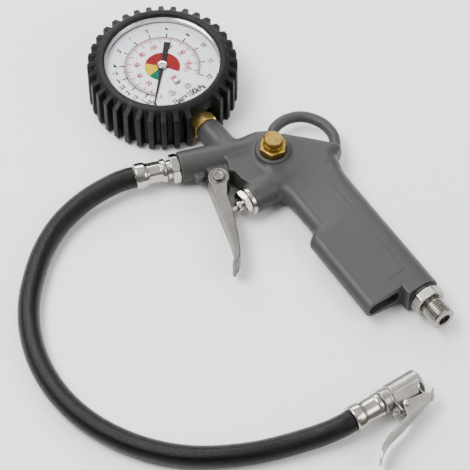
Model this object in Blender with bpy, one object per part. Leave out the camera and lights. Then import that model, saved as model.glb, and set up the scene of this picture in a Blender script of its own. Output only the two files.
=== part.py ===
"""Tyre inflator with gauge: a pistol grip valve, a booted pressure gauge and a hose with a clip-on chuck.

It lies on its side. The dial and the bleed button face +Z, the barrel points to -X and the grip to -Y.
Plan places are first written from the barrel's front face, and the whole object is then shifted so that
the origin is under the middle of the gun and gauge, on the surface they lie on.
"""

import math

import bmesh
import bpy
from mathutils import Matrix, Vector

MM = 0.001
GAP = 0.3                                # clearance between touching pieces, in millimetres

# Driving dimensions, in millimetres and degrees. Plan points are measured from the barrel's front face.
ORIGIN = (40.64, -16.82)                 # plan point that becomes the origin
MID_Z = 10.0                             # height of the gun's middle plane

BARREL_R = 8.75
BARREL_LENGTH = 52.0
BARREL_BORE_R = 3.0
HOSE_THREAD_R = 4.7
HOSE_THREAD_LENGTH = 10.0

GAUGE_AT = (6.3, 61.1)                   # plan place of the gauge's centre
GAUGE_BOSS_FOOT = (30.2, 0.0)            # where the gauge stem's axis meets the barrel's axis
GAUGE_BOSS_R = 7.6
GAUGE_BOSS_LENGTH = 22.8
GAUGE_THREAD_R = 4.86                    # G 1/8
GAUGE_THREAD_LENGTH = 9.0

TRIGGER_PIVOT = (18.3, -16.3)
TRIGGER_HEAD_R = 6.0
TRIGGER_WIDTH = 13.0
TRIGGER_WALL = 1.4
PIVOT_PIN_R = 1.9
PIVOT_LUG_R = 4.0
PIVOT_LUG_WIDTH = 8.4

VALVE_END = (32.2, -31.7)                # plan place of the valve boss's end face
VALVE_ANGLE = 19.0                       # direction into the boss
VALVE_BOSS_R = 8.2
VALVE_BORE_R = 5.9
VALVE_BORE_DEPTH = 26.0
VALVE_STEM_R = 1.0
VALVE_STEM_OUT = 17.9                    # how far the stem's tip stands out of the boss

GRIP_TOP = (83.6, -22.0)                 # upper end of the grip's rear edge
GRIP_ANGLE = -71.8                       # direction down the grip
GRIP_SPINE_R = 9.9
GRIP_FRONT_R = 5.8
GRIP_UPPER_WIDTH = 36.0
GRIP_LOWER_WIDTH = 42.1
GRIP_STEP = (30.0, 36.0)                 # distances down the grip where it widens
GRIP_LENGTH = 89.0
GRIP_WALL = 2.0
GRIP_HOLLOW_DEPTH = 58.0

INLET_BOSS_END = 95.0                    # distance down the grip
INLET_BOSS_R = 9.6
INLET_THREAD_R = 6.58                    # G 1/4
INLET_THREAD_LENGTH = 12.5
INLET_HEX_FLATS = 16.5
INLET_HEX_LENGTH = 6.0

BLEED_AT = (51.1, -9.0)
BLEED_BOSS_R = 9.3
BLEED_BOSS_TOP = 20.5
BLEED_NUT_FLATS = 14.0
BLEED_NUT_TOP = 25.0
BLEED_BUTTON_R = 5.25
BLEED_BUTTON_TOP = 30.5

BODY_HALF = 9.0                          # half thickness behind the barrel
LOOP_BAR_R = 3.2

BOOT_THICKNESS = 30.5
BOOT_R = 37.3
BOOT_LUG_R = 41.0
BOOT_LUGS = 36
BOOT_LIP_R = 31.5
CASE_R = 33.0
CASE_BACK_Z = 1.6
CASE_RIM_Z = 25.6
DIAL_TOP_Z = 23.6
POINTER_Z = 24.1
GEAR_MODULE = 0.3
PINION_TEETH = 12
SECTOR_TEETH = 96                        # as if it went all the way round
SECTOR_AT_ANGLE = 72.8                   # direction of the sector's arbor from the gauge's centre
SECTOR_REST = 17.4                       # half the sector's swing
SECTOR_TAIL = 4.5                        # from the sector's arbor to the link's pivot
SECTOR_TAIL_ANGLE = 90.0                 # from the sector's middle line to its tail, at rest
ZERO_ANGLE = 246.8                       # direction of the pointer at zero
BOURDON_R = 24.0
BOURDON_TIP_ANGLE = -271.0               # round the gauge from its stem

HOSE_R = 6.0
HOSE_STATIONS = 70
CHUCK_MOUTH = (85.6, -165.6)
CHUCK_Z = 8.6
CHUCK_ANGLE = 18.5
CHUCK_R = 7.2
CHUCK_LEVER_AT = (-14.6, -8.9)           # the lever pin, from the mouth along the chuck and across it
CHUCK_SPRING_AT = (-20.6, -9.2)

# The hose's centre line: out of the gun's ferrule, down to the surface, round and up into the chuck's ferrule.
HOSE_ROUTE = (
    (-25.7, 0.0, 10.0), (-30.2, -0.15, 10.0), (-36.2, -1.8, 9.7), (-44.7, -5.4, 8.8), (-54.1, -9.4, 7.8), (-63.3, -14.4, 6.9),
    (-72.1, -20.8, 6.3), (-80.3, -28.9, 6.05), (-87.4, -38.5, 6.05), (-93.5, -49.6, 6.05), (-98.3, -61.5, 6.05),
    (-101.3, -74.2, 6.05), (-102.5, -87.3, 6.05), (-101.9, -100.2, 6.05), (-99.5, -112.6, 6.05),
    (-95.6, -124.3, 6.05), (-90.3, -135.0, 6.05), (-83.8, -144.6, 6.05), (-76.3, -153.1, 6.05),
    (-68.1, -160.6, 6.05), (-59.2, -167.1, 6.05), (-49.5, -172.6, 6.05), (-39.1, -177.0, 6.05),
    (-28.0, -180.1, 6.05), (-16.2, -182.2, 6.05), (-3.5, -183.4, 6.05), (10.2, -183.4, 6.2),
    (24.5, -182.8, 6.9), (33.0, -182.1, 7.7), (40.4, -180.75, 8.4),
    (45.0, -179.2, 8.6),
)

# Plan outlines, anticlockwise.
TRIGGER_FRONT = ((13.3, -38.0), (14.3, -52.0), (14.0, -63.0), (13.2, -69.0), (11.0, -74.0))
TRIGGER_BACK = ((12.8, -75.2), (16.2, -71.5), (17.6, -67.0), (18.5, -58.5), (20.0, -41.0), (20.0, -28.6), (21.5, -23.0))
BODY_OUTLINE = (
    (44.0, 6.5), (44.0, -22.0), (50.5, -40.0), (70.0, -46.0), (84.5, -24.0), (84.8, -18.3), (89.6, -12.6),
    (90.2, -10.2), (86.0, -5.8), (60.9, 6.2), (54.0, 8.6),
)
WEB_OUTLINE = ((25.2, -5.0), (25.2, -14.0), (27.6, -15.6), (29.8, -21.0), (34.0, -27.0), (50.0, -30.0), (50.0, -2.0))
LUG_OUTLINE = ((12.9, -5.0), (14.3, -12.0), (14.3, -16.3), (22.3, -16.3), (24.5, -13.6), (26.0, -5.0))
LOOP_ROUTE = (
    (54.5, 5.0), (57.0, 11.0), (61.8, 15.0), (68.0, 16.9), (74.8, 16.4), (81.2, 12.7), (86.0, 6.8), (88.3, -0.8),
    (87.6, -8.0),
)
CLIP_HANDLE = (
    (0.6, -10.9), (-6.0, -12.8), (-15.0, -15.1), (-22.5, -17.6), (-28.0, -19.0), (-34.0, -20.4), (-39.0, -22.6),
    (-43.0, -25.4), (-46.6, -29.0),
)


# Colour, roughness and metallic value of each material.
FINISHES = {
    "grey_casting": ((0.105, 0.103, 0.1), 0.42, 0.35),
    "nickel": ((0.62, 0.6, 0.56), 0.28, 1.0),
    "satin_nickel": ((0.46, 0.44, 0.41), 0.45, 0.9),
    "steel": ((0.5, 0.5, 0.5), 0.35, 1.0),
    "yellow_zinc": ((0.62, 0.46, 0.16), 0.33, 1.0),
    "brass": ((0.72, 0.52, 0.18), 0.25, 1.0),
    "boot_rubber": ((0.018, 0.018, 0.018), 0.6, 0.0),
    "hose_rubber": ((0.012, 0.012, 0.012), 0.42, 0.0),
    "seal_rubber": ((0.02, 0.02, 0.02), 0.55, 0.0),
    "dial_white": ((0.85, 0.86, 0.88), 0.4, 0.0),
    "pointer_black": ((0.02, 0.02, 0.022), 0.45, 0.0),
    "clear_lens": ((0.9, 0.92, 0.95), 0.05, 0.0),
}


def material(name):
    made = bpy.data.materials.get(name)
    if made is None:
        colour, roughness, metallic = FINISHES[name]
        made = bpy.data.materials.new(name)
        made.use_nodes = True
        shader = made.node_tree.nodes["Principled BSDF"]
        shader.inputs["Base Color"].default_value = (*colour, 1.0)
        shader.inputs["Roughness"].default_value = roughness
        shader.inputs["Metallic"].default_value = metallic
        shader.inputs["Alpha"].default_value = 0.35 if name == "clear_lens" else 1.0
    return made


# Frames: empties that the pieces hang on, each with its +X along the axis that its pieces share. They are scaled, so
# that the meshes below them are in millimetres.

def empty(name, plan, height=0.0, angle=0.0):
    made = bpy.data.objects.new(name, None)
    made.empty_display_size = 0.01
    place = Vector((plan[0] - ORIGIN[0], plan[1] - ORIGIN[1], height)) * MM
    made.matrix_world = Matrix.Translation(place) @ Matrix.Rotation(math.radians(angle), 4, "Z") @ Matrix.Scale(MM, 4)
    bpy.context.scene.collection.objects.link(made)
    return made


def turn(angle):
    return Vector((math.cos(math.radians(angle)), math.sin(math.radians(angle))))


def walk(plan, angle, distance):
    return Vector(plan) + turn(angle) * distance


# Shapes. Each function returns a bmesh in millimetres.

def finished(shape):
    bmesh.ops.remove_doubles(shape, verts=shape.verts, dist=1e-4)
    bmesh.ops.recalc_face_normals(shape, faces=shape.faces)
    return shape


def turned(profile, steps=32, hollow=False):
    """Spins (radius, height) points round Z. A hollow profile is a closed ring; any other starts and ends on the axis."""
    shape = bmesh.new()
    verts = [shape.verts.new((radius, 0.0, height)) for radius, height in profile]
    pairs = list(zip(verts, verts[1:]))
    if hollow:
        pairs.append((verts[-1], verts[0]))
    edges = [shape.edges.new(pair) for pair in pairs]
    bmesh.ops.spin(shape, geom=verts + edges, cent=(0, 0, 0), axis=(0, 0, 1), angle=math.tau, steps=steps, use_merge=True)
    return finished(shape)


def solid_turned(profile, steps=32):
    """A turned solid, closed on the axis at both ends."""
    return turned([(0.0, profile[0][1]), *profile, (0.0, profile[-1][1])], steps)


def cylinder(radius, low, high, steps=32):
    return solid_turned([(radius, low), (radius, high)], steps)


def ring(inner, outer, low, high, steps=32):
    return turned([(inner, low), (outer, low), (outer, high), (inner, high)], steps, hollow=True)


def prism(outline, low, high):
    shape = bmesh.new()
    face = shape.faces.new([shape.verts.new((x, y, low)) for x, y in outline])
    grown = bmesh.ops.extrude_face_region(shape, geom=[face])["geom"]
    tops = [item for item in grown if isinstance(item, bmesh.types.BMVert)]
    bmesh.ops.translate(shape, verts=tops, vec=(0, 0, high - low))
    return finished(shape)


def circle(radius, count, centre=(0.0, 0.0), start=0.0):
    return [tuple(walk(centre, start + 360.0 * step / count, radius)) for step in range(count)]


def arc(centre, radius, start, end, count):
    return [tuple(walk(centre, start + (end - start) * step / (count - 1), radius)) for step in range(count)]


def hexagon(flats, start=0.0):
    return circle(flats / math.sqrt(3.0), 6, start=start)


def box(low, high):
    return prism([(low[0], low[1]), (high[0], low[1]), (high[0], high[1]), (low[0], high[1])], low[2], high[2])


def loft(loops):
    """Skins closed loops of equally many points, and caps both ends."""
    shape = bmesh.new()
    rows = [[shape.verts.new(point) for point in loop] for loop in loops]
    for row, following in zip(rows, rows[1:]):
        for index in range(len(row)):
            beside = (index + 1) % len(row)
            shape.faces.new((row[index], row[beside], following[beside], following[index]))
    bmesh.ops.triangulate(shape, faces=shape.faces)
    shape.faces.new(rows[0])
    shape.faces.new(rows[-1])
    return finished(shape)


def tube(points, radius, sides=12):
    """A round bar along plan or space points, with flat ends."""
    points = [Vector((*point, 0.0)) if len(point) == 2 else Vector(point) for point in points]
    loops = []
    for index, point in enumerate(points):
        before = points[max(index - 1, 0)]
        after = points[min(index + 1, len(points) - 1)]
        along = (after - before).normalized()
        across = along.cross(Vector((0, 0, 1))).normalized()
        upward = across.cross(along)
        loops.append([
            point + radius * (across * math.cos(math.tau * side / sides) + upward * math.sin(math.tau * side / sides))
            for side in range(sides)
        ])
    return loft(loops)


def coil(radius, wire, low, high, turns, sides=6, per_turn=12):
    """A helical spring round Z."""
    count = int(turns * per_turn)
    points = []
    for step in range(count + 1):
        share = step / count
        points.append((*(turn(360.0 * turns * share) * radius), low + wire + (high - low - 2 * wire) * share))
    return tube(points, wire, sides)


def strip(centre_line, thickness, low, high):
    """A bent strip of sheet, seen edge on in plan."""
    points = [Vector(point) for point in centre_line]
    left = []
    right = []
    for index, point in enumerate(points):
        along = (points[min(index + 1, len(points) - 1)] - points[max(index - 1, 0)]).normalized()
        side = Vector((-along.y, along.x)) * thickness / 2
        left.append(tuple(point + side))
        right.append(tuple(point - side))
    return prism(left + right[::-1], low, high)


def smoothed(points, count):
    """A Catmull-Rom curve through the points, read at evenly spaced stations."""
    points = [Vector(point) for point in points]
    guides = [2 * points[0] - points[1], *points, 2 * points[-1] - points[-2]]
    fine = []
    for index in range(len(points) - 1):
        a, b, c, d = guides[index:index + 4]
        for step in range(20):
            t = step / 20
            fine.append(0.5 * (2 * b + (c - a) * t + (2 * a - 5 * b + 4 * c - d) * t**2 + (3 * b - a - 3 * c + d) * t**3))
    fine.append(points[-1])
    lengths = [0.0]
    for before, after in zip(fine, fine[1:]):
        lengths.append(lengths[-1] + (after - before).length)
    stations = []
    index = 0
    for step in range(count):
        wanted = lengths[-1] * step / (count - 1)
        while index < len(lengths) - 2 and lengths[index + 1] < wanted:
            index += 1
        share = (wanted - lengths[index]) / (lengths[index + 1] - lengths[index])
        stations.append(fine[index].lerp(fine[index + 1], min(share, 1.0)))
    return stations


def moved(shape, x=0.0, y=0.0, z=0.0, angle=0.0):
    matrix = Matrix.Translation((x, y, z)) @ Matrix.Rotation(math.radians(angle), 4, "Z")
    bmesh.ops.transform(shape, matrix=matrix, verts=shape.verts)
    return shape


def lying(shape):
    """Turns a shape made along Z so that its axis lies along +X."""
    bmesh.ops.transform(shape, matrix=Matrix.Rotation(math.pi / 2, 4, "Y"), verts=shape.verts)
    return shape


# Objects.

def piece(name, shape, finish, frame):
    mesh = bpy.data.meshes.new(name)
    shape.to_mesh(mesh)
    shape.free()
    mesh.shade_smooth()
    mesh.set_sharp_from_angle(angle=math.radians(35))
    mesh.materials.append(material(finish))
    made = bpy.data.objects.new(name, mesh)
    made.parent = frame
    bpy.context.scene.collection.objects.link(made)
    return made


def helper(name, shape, frame):
    made = piece(name, shape, "steel", frame)
    made.hide_render = True
    made.display_type = "WIRE"
    return made


# The exact solver leaves open edges in these, where near-coincident round faces meet.
MANIFOLD_PIECES = ("body_casting", "chuck_body", "gauge_socket")


def combine(target, operation, shapes, frame):
    """Joins each shape to the target, or cuts it out, with a Boolean modifier for each."""
    for number, shape in enumerate(shapes, 1):
        name = f"{target.name}_{operation.lower()}_{frame.name}_{number}"
        modifier = target.modifiers.new(name, "BOOLEAN")
        modifier.operation = operation
        modifier.solver = "MANIFOLD" if target.name in MANIFOLD_PIECES else "EXACT"
        modifier.object = helper(name, shape, frame)


# The gun.

def grip_section(distance, width, spine_r=GRIP_SPINE_R, front_r=GRIP_FRONT_R):
    """The grip's cross-section: the hull of a thick rear circle and a thin front one. Local Y is towards the rear."""
    rear_y = -spine_r
    front_y = -(width - front_r)
    lean = math.degrees(math.asin((spine_r - front_r) / (rear_y - front_y)))
    rear = arc((rear_y, 0.0), spine_r, -90 - lean, 90 + lean, 15)
    front = arc((front_y, 0.0), front_r, 90 + lean, 270 - lean, 9)
    return [(distance, y, z) for y, z in rear + front]


def hollow_section(distance, width):
    front_y = -(width - GRIP_WALL - 3.8)
    rear_y = -(2 * GRIP_SPINE_R + 4.5)
    rear = arc((rear_y, 0.0), 3.8, -90, 90, 7)
    front = arc((front_y, 0.0), 3.8, 90, 270, 7)
    return [(distance, y, z) for y, z in rear + front]


def bevelled_body():
    shape = prism(BODY_OUTLINE, -BODY_HALF, BODY_HALF)
    rims = [edge for edge in shape.edges if abs(edge.verts[0].co.z - edge.verts[1].co.z) < 0.1]
    bmesh.ops.bevel(shape, geom=rims, offset=2.4, segments=2, profile=0.5, affect="EDGES")
    return finished(shape)


def make_casting(gun, gauge_line, valve, grip, bleed):
    body = piece("body_casting", lying(cylinder(BARREL_R, 0.0, BARREL_LENGTH)), "grey_casting", gun)
    combine(body, "UNION", [
        bevelled_body(),
        prism(WEB_OUTLINE, -6.6, 6.6),
        prism(LUG_OUTLINE, -PIVOT_LUG_WIDTH / 2, PIVOT_LUG_WIDTH / 2),
        prism(circle(PIVOT_LUG_R, 20, TRIGGER_PIVOT), -PIVOT_LUG_WIDTH / 2, PIVOT_LUG_WIDTH / 2),
        prism(circle(3.4, 12, (11.0, -9.3)), -4.5, 4.5),
        tube([tuple(point) for point in smoothed([(*point, 0.0) for point in LOOP_ROUTE], 19)], LOOP_BAR_R),
    ], gun)
    combine(body, "UNION", [lying(cylinder(GAUGE_BOSS_R, 0.0, GAUGE_BOSS_LENGTH))], gauge_line)
    combine(body, "UNION", [lying(cylinder(VALVE_BOSS_R, 0.0, 24.0))], valve)
    combine(body, "UNION", [
        loft([
            grip_section(-2.0, GRIP_UPPER_WIDTH),
            grip_section(GRIP_STEP[0], GRIP_UPPER_WIDTH),
            grip_section(GRIP_STEP[1], GRIP_LOWER_WIDTH),
            grip_section(GRIP_LENGTH, GRIP_LOWER_WIDTH),
        ]),
        moved(lying(cylinder(INLET_BOSS_R, 70.0, INLET_BOSS_END)), y=-GRIP_SPINE_R),
    ], grip)
    combine(body, "UNION", [cylinder(BLEED_BOSS_R, MID_Z, BLEED_BOSS_TOP)], bleed)
    combine(body, "DIFFERENCE", [
        lying(cylinder(HOSE_THREAD_R + GAP, -1.0, HOSE_THREAD_LENGTH + 1.0, 24)),
        lying(cylinder(BARREL_BORE_R, 5.0, 50.0, 16)),
        prism(circle(PIVOT_PIN_R + 0.1, 20, TRIGGER_PIVOT), -8.0, 8.0),
    ], gun)
    combine(body, "DIFFERENCE", [
        lying(cylinder(GAUGE_THREAD_R + GAP, GAUGE_BOSS_LENGTH - 11.0, GAUGE_BOSS_LENGTH + 1.0, 24)),
        lying(cylinder(1.8, 0.0, GAUGE_BOSS_LENGTH, 12)),
    ], gauge_line)
    combine(body, "DIFFERENCE", [
        lying(cylinder(VALVE_BORE_R, -1.0, VALVE_BORE_DEPTH, 28)),
        moved(lying(cylinder(1.8, 0.0, 30.0, 12)), x=7.0, angle=95.0),
    ], valve)
    combine(body, "DIFFERENCE", [
        moved(lying(cylinder(INLET_THREAD_R - 0.4, INLET_BOSS_END - 13.0, INLET_BOSS_END + 1.0, 24)), y=-GRIP_SPINE_R),
        moved(lying(cylinder(3.0, 2.0, INLET_BOSS_END, 16)), y=-GRIP_SPINE_R),
        moved(lying(cylinder(3.0, 0.0, 24.0, 16)), x=4.0, y=-GRIP_SPINE_R, angle=-118.0),
        loft([
            hollow_section(GRIP_LENGTH - GRIP_HOLLOW_DEPTH, GRIP_UPPER_WIDTH),
            hollow_section(GRIP_STEP[1] + 2.0, GRIP_LOWER_WIDTH),
            hollow_section(GRIP_LENGTH + 1.0, GRIP_LOWER_WIDTH),
        ]),
    ], grip)
    combine(body, "DIFFERENCE", [
        cylinder(7.2, 14.4, BLEED_BOSS_TOP + 1.0, 24),
        cylinder(5.6, 5.0, 18.0, 24),
        moved(lying(cylinder(1.8, 0.0, 10.0, 12)), z=MID_Z, angle=110.0),
    ], bleed)
    return body


def make_trigger(pivot):
    """The trigger turns about its pivot, so its plan outlines are moved to put the pivot on the frame's axis."""
    half = TRIGGER_WIDTH / 2
    head_left = (TRIGGER_PIVOT[0] - TRIGGER_HEAD_R + TRIGGER_WALL, TRIGGER_PIVOT[1])
    outline = [*TRIGGER_FRONT, *TRIGGER_BACK, *arc(TRIGGER_PIVOT, TRIGGER_HEAD_R, -20, 180, 15)]
    web_inside = [(x + TRIGGER_WALL, y) for x, y in TRIGGER_FRONT[:3]]
    channel = [(8.0, TRIGGER_PIVOT[1]), head_left, *web_inside, (26.0, -62.0), (26.0, -8.0), (8.0, -8.0)]
    shift = {"x": -TRIGGER_PIVOT[0], "y": -TRIGGER_PIVOT[1]}
    lever = piece("trigger_lever", moved(prism(outline, -half, half), **shift), "satin_nickel", pivot)
    combine(lever, "DIFFERENCE", [
        moved(prism(channel, TRIGGER_WALL - half, half - TRIGGER_WALL), **shift),
        cylinder(PIVOT_PIN_R + 0.1, -half - 1.0, half + 1.0, 20),
    ], pivot)


def make_pivot_pin(pivot):
    half = TRIGGER_WIDTH / 2
    piece("trigger_pivot_pin", solid_turned([
        (PIVOT_PIN_R, -half - 1.9), (PIVOT_PIN_R, half + GAP), (3.4, half + GAP), (3.4, half + 0.8), (2.8, half + 1.3),
    ], 24), "nickel", pivot)
    piece("trigger_pin_clip", ring(PIVOT_PIN_R + GAP, 3.4, -half - 1.1, -half - GAP, 24), "steel", pivot)


def make_valve_gland(valve):
    nut = piece("valve_gland_nut", lying(prism(hexagon(13.6, 12.0), 2.8, 6.4)), "nickel", valve)
    nut.rotation_euler.z = math.pi
    combine(nut, "UNION", [
        lying(solid_turned([(5.6, -5.0), (5.6, GAP), (8.0, GAP), (8.0, 2.4), (7.4, 3.0)], 28)),
        lying(solid_turned([(3.0, 5.0), (3.0, 8.8), (2.7, 9.2)], 20)),
    ], nut_frame(valve))
    combine(nut, "DIFFERENCE", [
        lying(cylinder(1.5, -6.0, 10.0, 16)),
        lying(cylinder(2.9, -6.0, -1.7, 20)),
    ], nut_frame(valve))


def nut_frame(valve):
    """The valve's axis turned to point out of the boss."""
    name = "valve_outward"
    made = bpy.data.objects.get(name)
    if made is None:
        made = empty(name, VALVE_END, MID_Z, VALVE_ANGLE + 180.0)
    return made


def make_valve(valve):
    make_valve_gland(valve)
    piece("valve_gland_packing", lying(ring(1.25, 2.6, 2.0, 4.7, 20)), "seal_rubber", valve)
    piece("valve_seat_ring", lying(turned([
        (2.3, 8.3), (5.6, 8.3), (5.6, 11.0), (3.2, 11.0), (2.8, 10.7), (2.3, 10.7),
    ], 24, hollow=True)), "brass", valve)
    piece("valve_stem", lying(solid_turned([
        (0.7, -VALVE_STEM_OUT), (VALVE_STEM_R, GAP - VALVE_STEM_OUT), (VALVE_STEM_R, 12.6), (3.9, 12.6), (3.9, 14.2),
        (1.7, 14.2), (1.7, 16.4),
    ], 20)), "nickel", valve)
    piece("poppet_seal", lying(ring(1.3, 3.9, 11.3, 12.3, 20)), "seal_rubber", valve)
    piece("valve_spring", lying(coil(2.9, 0.4, 14.6, 25.6, 5.5)), "steel", valve)


def make_bleed(bleed):
    low = BLEED_BOSS_TOP + GAP
    nut = piece("bleed_gland_nut", prism(hexagon(BLEED_NUT_FLATS, 8.0), low, BLEED_NUT_TOP), "yellow_zinc", bleed)
    combine(nut, "INTERSECT", [solid_turned([
        (8.3, low - 1.0), (8.3, BLEED_NUT_TOP - 0.9), (6.9, BLEED_NUT_TOP - 0.1), (6.9, BLEED_NUT_TOP + 1.0),
    ], 36)], bleed)
    combine(nut, "UNION", [cylinder(6.9, 17.8, low + 1.0, 28)], bleed)
    combine(nut, "DIFFERENCE", [cylinder(BLEED_BUTTON_R + GAP, 15.0, 27.0, 28)], bleed)
    piece("bleed_button", solid_turned([
        (1.5, 8.0), (1.5, 14.0), (3.0, 14.0), (BLEED_BUTTON_R, 18.2), (BLEED_BUTTON_R, 25.4), (4.9, 25.8), (4.9, 26.4),
        (BLEED_BUTTON_R, 26.8), (BLEED_BUTTON_R, 29.9), (4.7, BLEED_BUTTON_TOP),
    ], 28), "yellow_zinc", bleed)
    piece("bleed_button_seal", ring(BLEED_BUTTON_R + 0.2, 6.9, 14.8, 17.2, 24), "seal_rubber", bleed)
    piece("bleed_spring", coil(2.6, 0.4, 5.4, 13.6, 4.5), "steel", bleed)


def make_inlet(inlet):
    tip = GAP + 0.8 + INLET_HEX_LENGTH + INLET_THREAD_LENGTH
    hex_start = 2 * GAP + 1.0
    nipple = piece("inlet_nipple", lying(prism(hexagon(INLET_HEX_FLATS, 12.5), hex_start, hex_start + INLET_HEX_LENGTH)),
                   "nickel", inlet)
    thread_start = hex_start + INLET_HEX_LENGTH
    combine(nipple, "INTERSECT", [lying(solid_turned([
        (9.6, hex_start - 1.0), (9.6, thread_start - 0.9), (8.2, thread_start - 0.1), (8.2, thread_start + 1.0),
    ], 36))], inlet)
    combine(nipple, "UNION", [lying(solid_turned([
        (INLET_THREAD_R - 0.8, -12.0), (INLET_THREAD_R - 0.8, thread_start + 1.4), (INLET_THREAD_R, thread_start + 2.0),
        (INLET_THREAD_R, tip - 0.8), (INLET_THREAD_R - 0.8, tip),
    ], 32))], inlet)
    combine(nipple, "DIFFERENCE", [lying(cylinder(3.2, -13.0, tip + 1.0, 16)), lying(cylinder(3.9, tip - 5.0, tip + 1.0, 6))], inlet)
    piece("inlet_seal_washer", lying(ring(INLET_THREAD_R - 0.4, 8.6, GAP, GAP + 1.0, 28)), "seal_rubber", inlet)


# The hose.

def make_ferrule(name, frame):
    """A crimped ferrule on +X, hose end at 0, whose other end meets the fitting."""
    piece(name, lying(turned([
        (3.3, 0.0), (6.9, 0.0), (7.2, 0.5), (7.3, 5.2), (6.9, 6.2), (6.2, 7.0), (6.0, 8.0), (6.0, 14.6), (6.5, 15.2),
        (6.5, 17.0), (6.1, 17.6), (3.3, 17.6),
    ], 24, hollow=True)), "nickel", frame)


def make_gun_fitting(gun):
    fitting = piece("hose_hex_fitting", lying(prism(hexagon(15.0, 20.0), -5.0, -GAP)), "nickel", gun)
    combine(fitting, "INTERSECT", [lying(solid_turned([
        (7.6, -6.0), (7.6, -5.0), (8.5, -4.2), (8.5, 1.0),
    ], 36))], gun)
    combine(fitting, "UNION", [
        lying(cylinder(HOSE_THREAD_R, -1.0, HOSE_THREAD_LENGTH, 24)),
        lying(solid_turned([(3.0, -20.0), (3.0, -7.2), (5.4, -7.2), (5.4, -4.0)], 24)),
    ], gun)
    combine(fitting, "DIFFERENCE", [lying(cylinder(2.0, -21.0, HOSE_THREAD_LENGTH + 1.0, 12))], gun)


def make_hose():
    curve = bpy.data.curves.new("air_hose", "CURVE")
    curve.dimensions = "3D"
    curve.bevel_depth = HOSE_R * MM
    curve.bevel_resolution = 3
    curve.use_fill_caps = True
    spline = curve.splines.new("POLY")
    stations = smoothed(HOSE_ROUTE, HOSE_STATIONS)
    spline.points.add(len(stations) - 1)
    for point, station in zip(spline.points, stations):
        place = (station - Vector((*ORIGIN, 0.0))) * MM
        point.co = (*place, 1.0)
    curve.materials.append(material("hose_rubber"))
    bpy.context.scene.collection.objects.link(bpy.data.objects.new("air_hose", curve))


def make_chuck(chuck):
    """The chuck lies on +X with its mouth at 0. Its lever is on the -Y side."""
    body = piece("chuck_body", lying(solid_turned([
        (3.0, -38.0), (3.0, -24.7), (6.0, -24.7), (6.0, -23.6), (6.7, -23.2), (6.7, -20.2), (6.2, -19.6), (6.2, -19.0),
        (CHUCK_R, -18.4), (CHUCK_R, -0.9), (CHUCK_R - 0.9, 0.0),
    ], 28)), "satin_nickel", chuck)
    combine(body, "UNION", [
        box((-18.4, -11.0, -2.3), (-10.6, -5.0, 2.3)),
        box((-22.3, -10.9, -2.3), (-17.4, -7.4, -1.3)),
        moved(cylinder(0.8, -2.0, 2.5, 12), *CHUCK_SPRING_AT),
    ], chuck)
    combine(body, "DIFFERENCE", [
        lying(cylinder(4.4, -6.0, 1.0, 24)),
        lying(cylinder(5.2, -14.5, -5.0, 24)),
        lying(cylinder(1.6, -39.0, -14.0, 12)),
        box((-4.2, -9.0, -5.0), (-2.2, -3.0, 5.0)),
        moved(cylinder(1.35, -4.0, 4.0, 16), *CHUCK_LEVER_AT),
    ], chuck)
    piece("chuck_seal", lying(turned([
        (2.2, -10.2), (4.9, -10.2), (4.9, -6.4), (2.9, -6.4),
    ], 24, hollow=True)), "seal_rubber", chuck)
    piece("chuck_lever_spring", moved(coil(1.55, 0.36, -1.0, 2.3, 3.5), *CHUCK_SPRING_AT), "steel", chuck)
    depressor = piece("chuck_depressor", lying(solid_turned([
        (4.9, -13.9), (4.9, -12.7), (1.1, -12.7), (1.1, -7.6), (0.7, -7.0),
    ], 20)), "brass", chuck)
    combine(depressor, "DIFFERENCE", [
        lying(moved(cylinder(0.9, -15.0, -12.0, 8), x=3.2)),
        lying(moved(cylinder(0.9, -15.0, -12.0, 8), x=-3.2)),
    ], chuck)


def make_clip_lever(lever):
    """The stamped clip lever, in a frame on its own pin."""
    shift = {"x": -CHUCK_LEVER_AT[0], "y": -CHUCK_LEVER_AT[1]}
    cheek = [(-18.6, -16.4), (-16.2, -8.6), (-14.6, -6.9), (-12.4, -7.4), (-9.0, -8.2), (-6.2, -8.4), (-3.7, -8.9),
             (0.6, -10.9), (-6.0, -12.8), (-15.0, -15.1)]
    clip = piece("chuck_clip_lever", moved(strip(CLIP_HANDLE, 1.2, -3.9, 3.9), **shift), "satin_nickel", lever)
    combine(clip, "UNION", [
        moved(prism(cheek, 2.7, 3.9), **shift),
        moved(prism(cheek, -3.9, -2.7), **shift),
        moved(prism([(-3.9, -12.0), (-3.1, -11.8), (-3.1, -4.7), (-3.9, -4.7)], -3.4, 3.4), **shift),
        moved(prism([(-1.0, -11.6), (0.4, -11.2), (4.2, -8.6), (3.7, -7.9)], -3.0, 3.0), **shift),
    ], lever)
    combine(clip, "DIFFERENCE", [cylinder(1.35, -5.0, 5.0, 16)], lever)
    piece("chuck_lever_pin", solid_turned([
        (1.25, -4.7), (1.25, 4.2), (1.9, 4.2), (1.9, 4.8), (1.5, 5.1),
    ], 16), "steel", lever)


# The gauge. Its frame stands on the gauge's centre with +X towards the stem.

def boot_lug(angle):
    """One lug: a bar across the boot's side, chamfered front and back and narrower at its top."""
    foot = 1.9
    top = 1.25
    loops = []
    for radius, half, low, high in ((BOOT_R - 0.8, foot, 0.6, BOOT_THICKNESS - 0.6), (BOOT_LUG_R, top, 3.4, BOOT_THICKNESS - 3.6)):
        loops.append([(radius, -half, low), (radius, half, low), (radius, half, high), (radius, -half, high)])
    return moved(loft(loops), angle=angle)


def merged(shapes):
    """Several separate shapes as one mesh, to be one Boolean operand."""
    whole = bmesh.new()
    for shape in shapes:
        carrier = bpy.data.meshes.new("carrier")
        shape.to_mesh(carrier)
        shape.free()
        whole.from_mesh(carrier)
        bpy.data.meshes.remove(carrier)
    return whole


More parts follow.
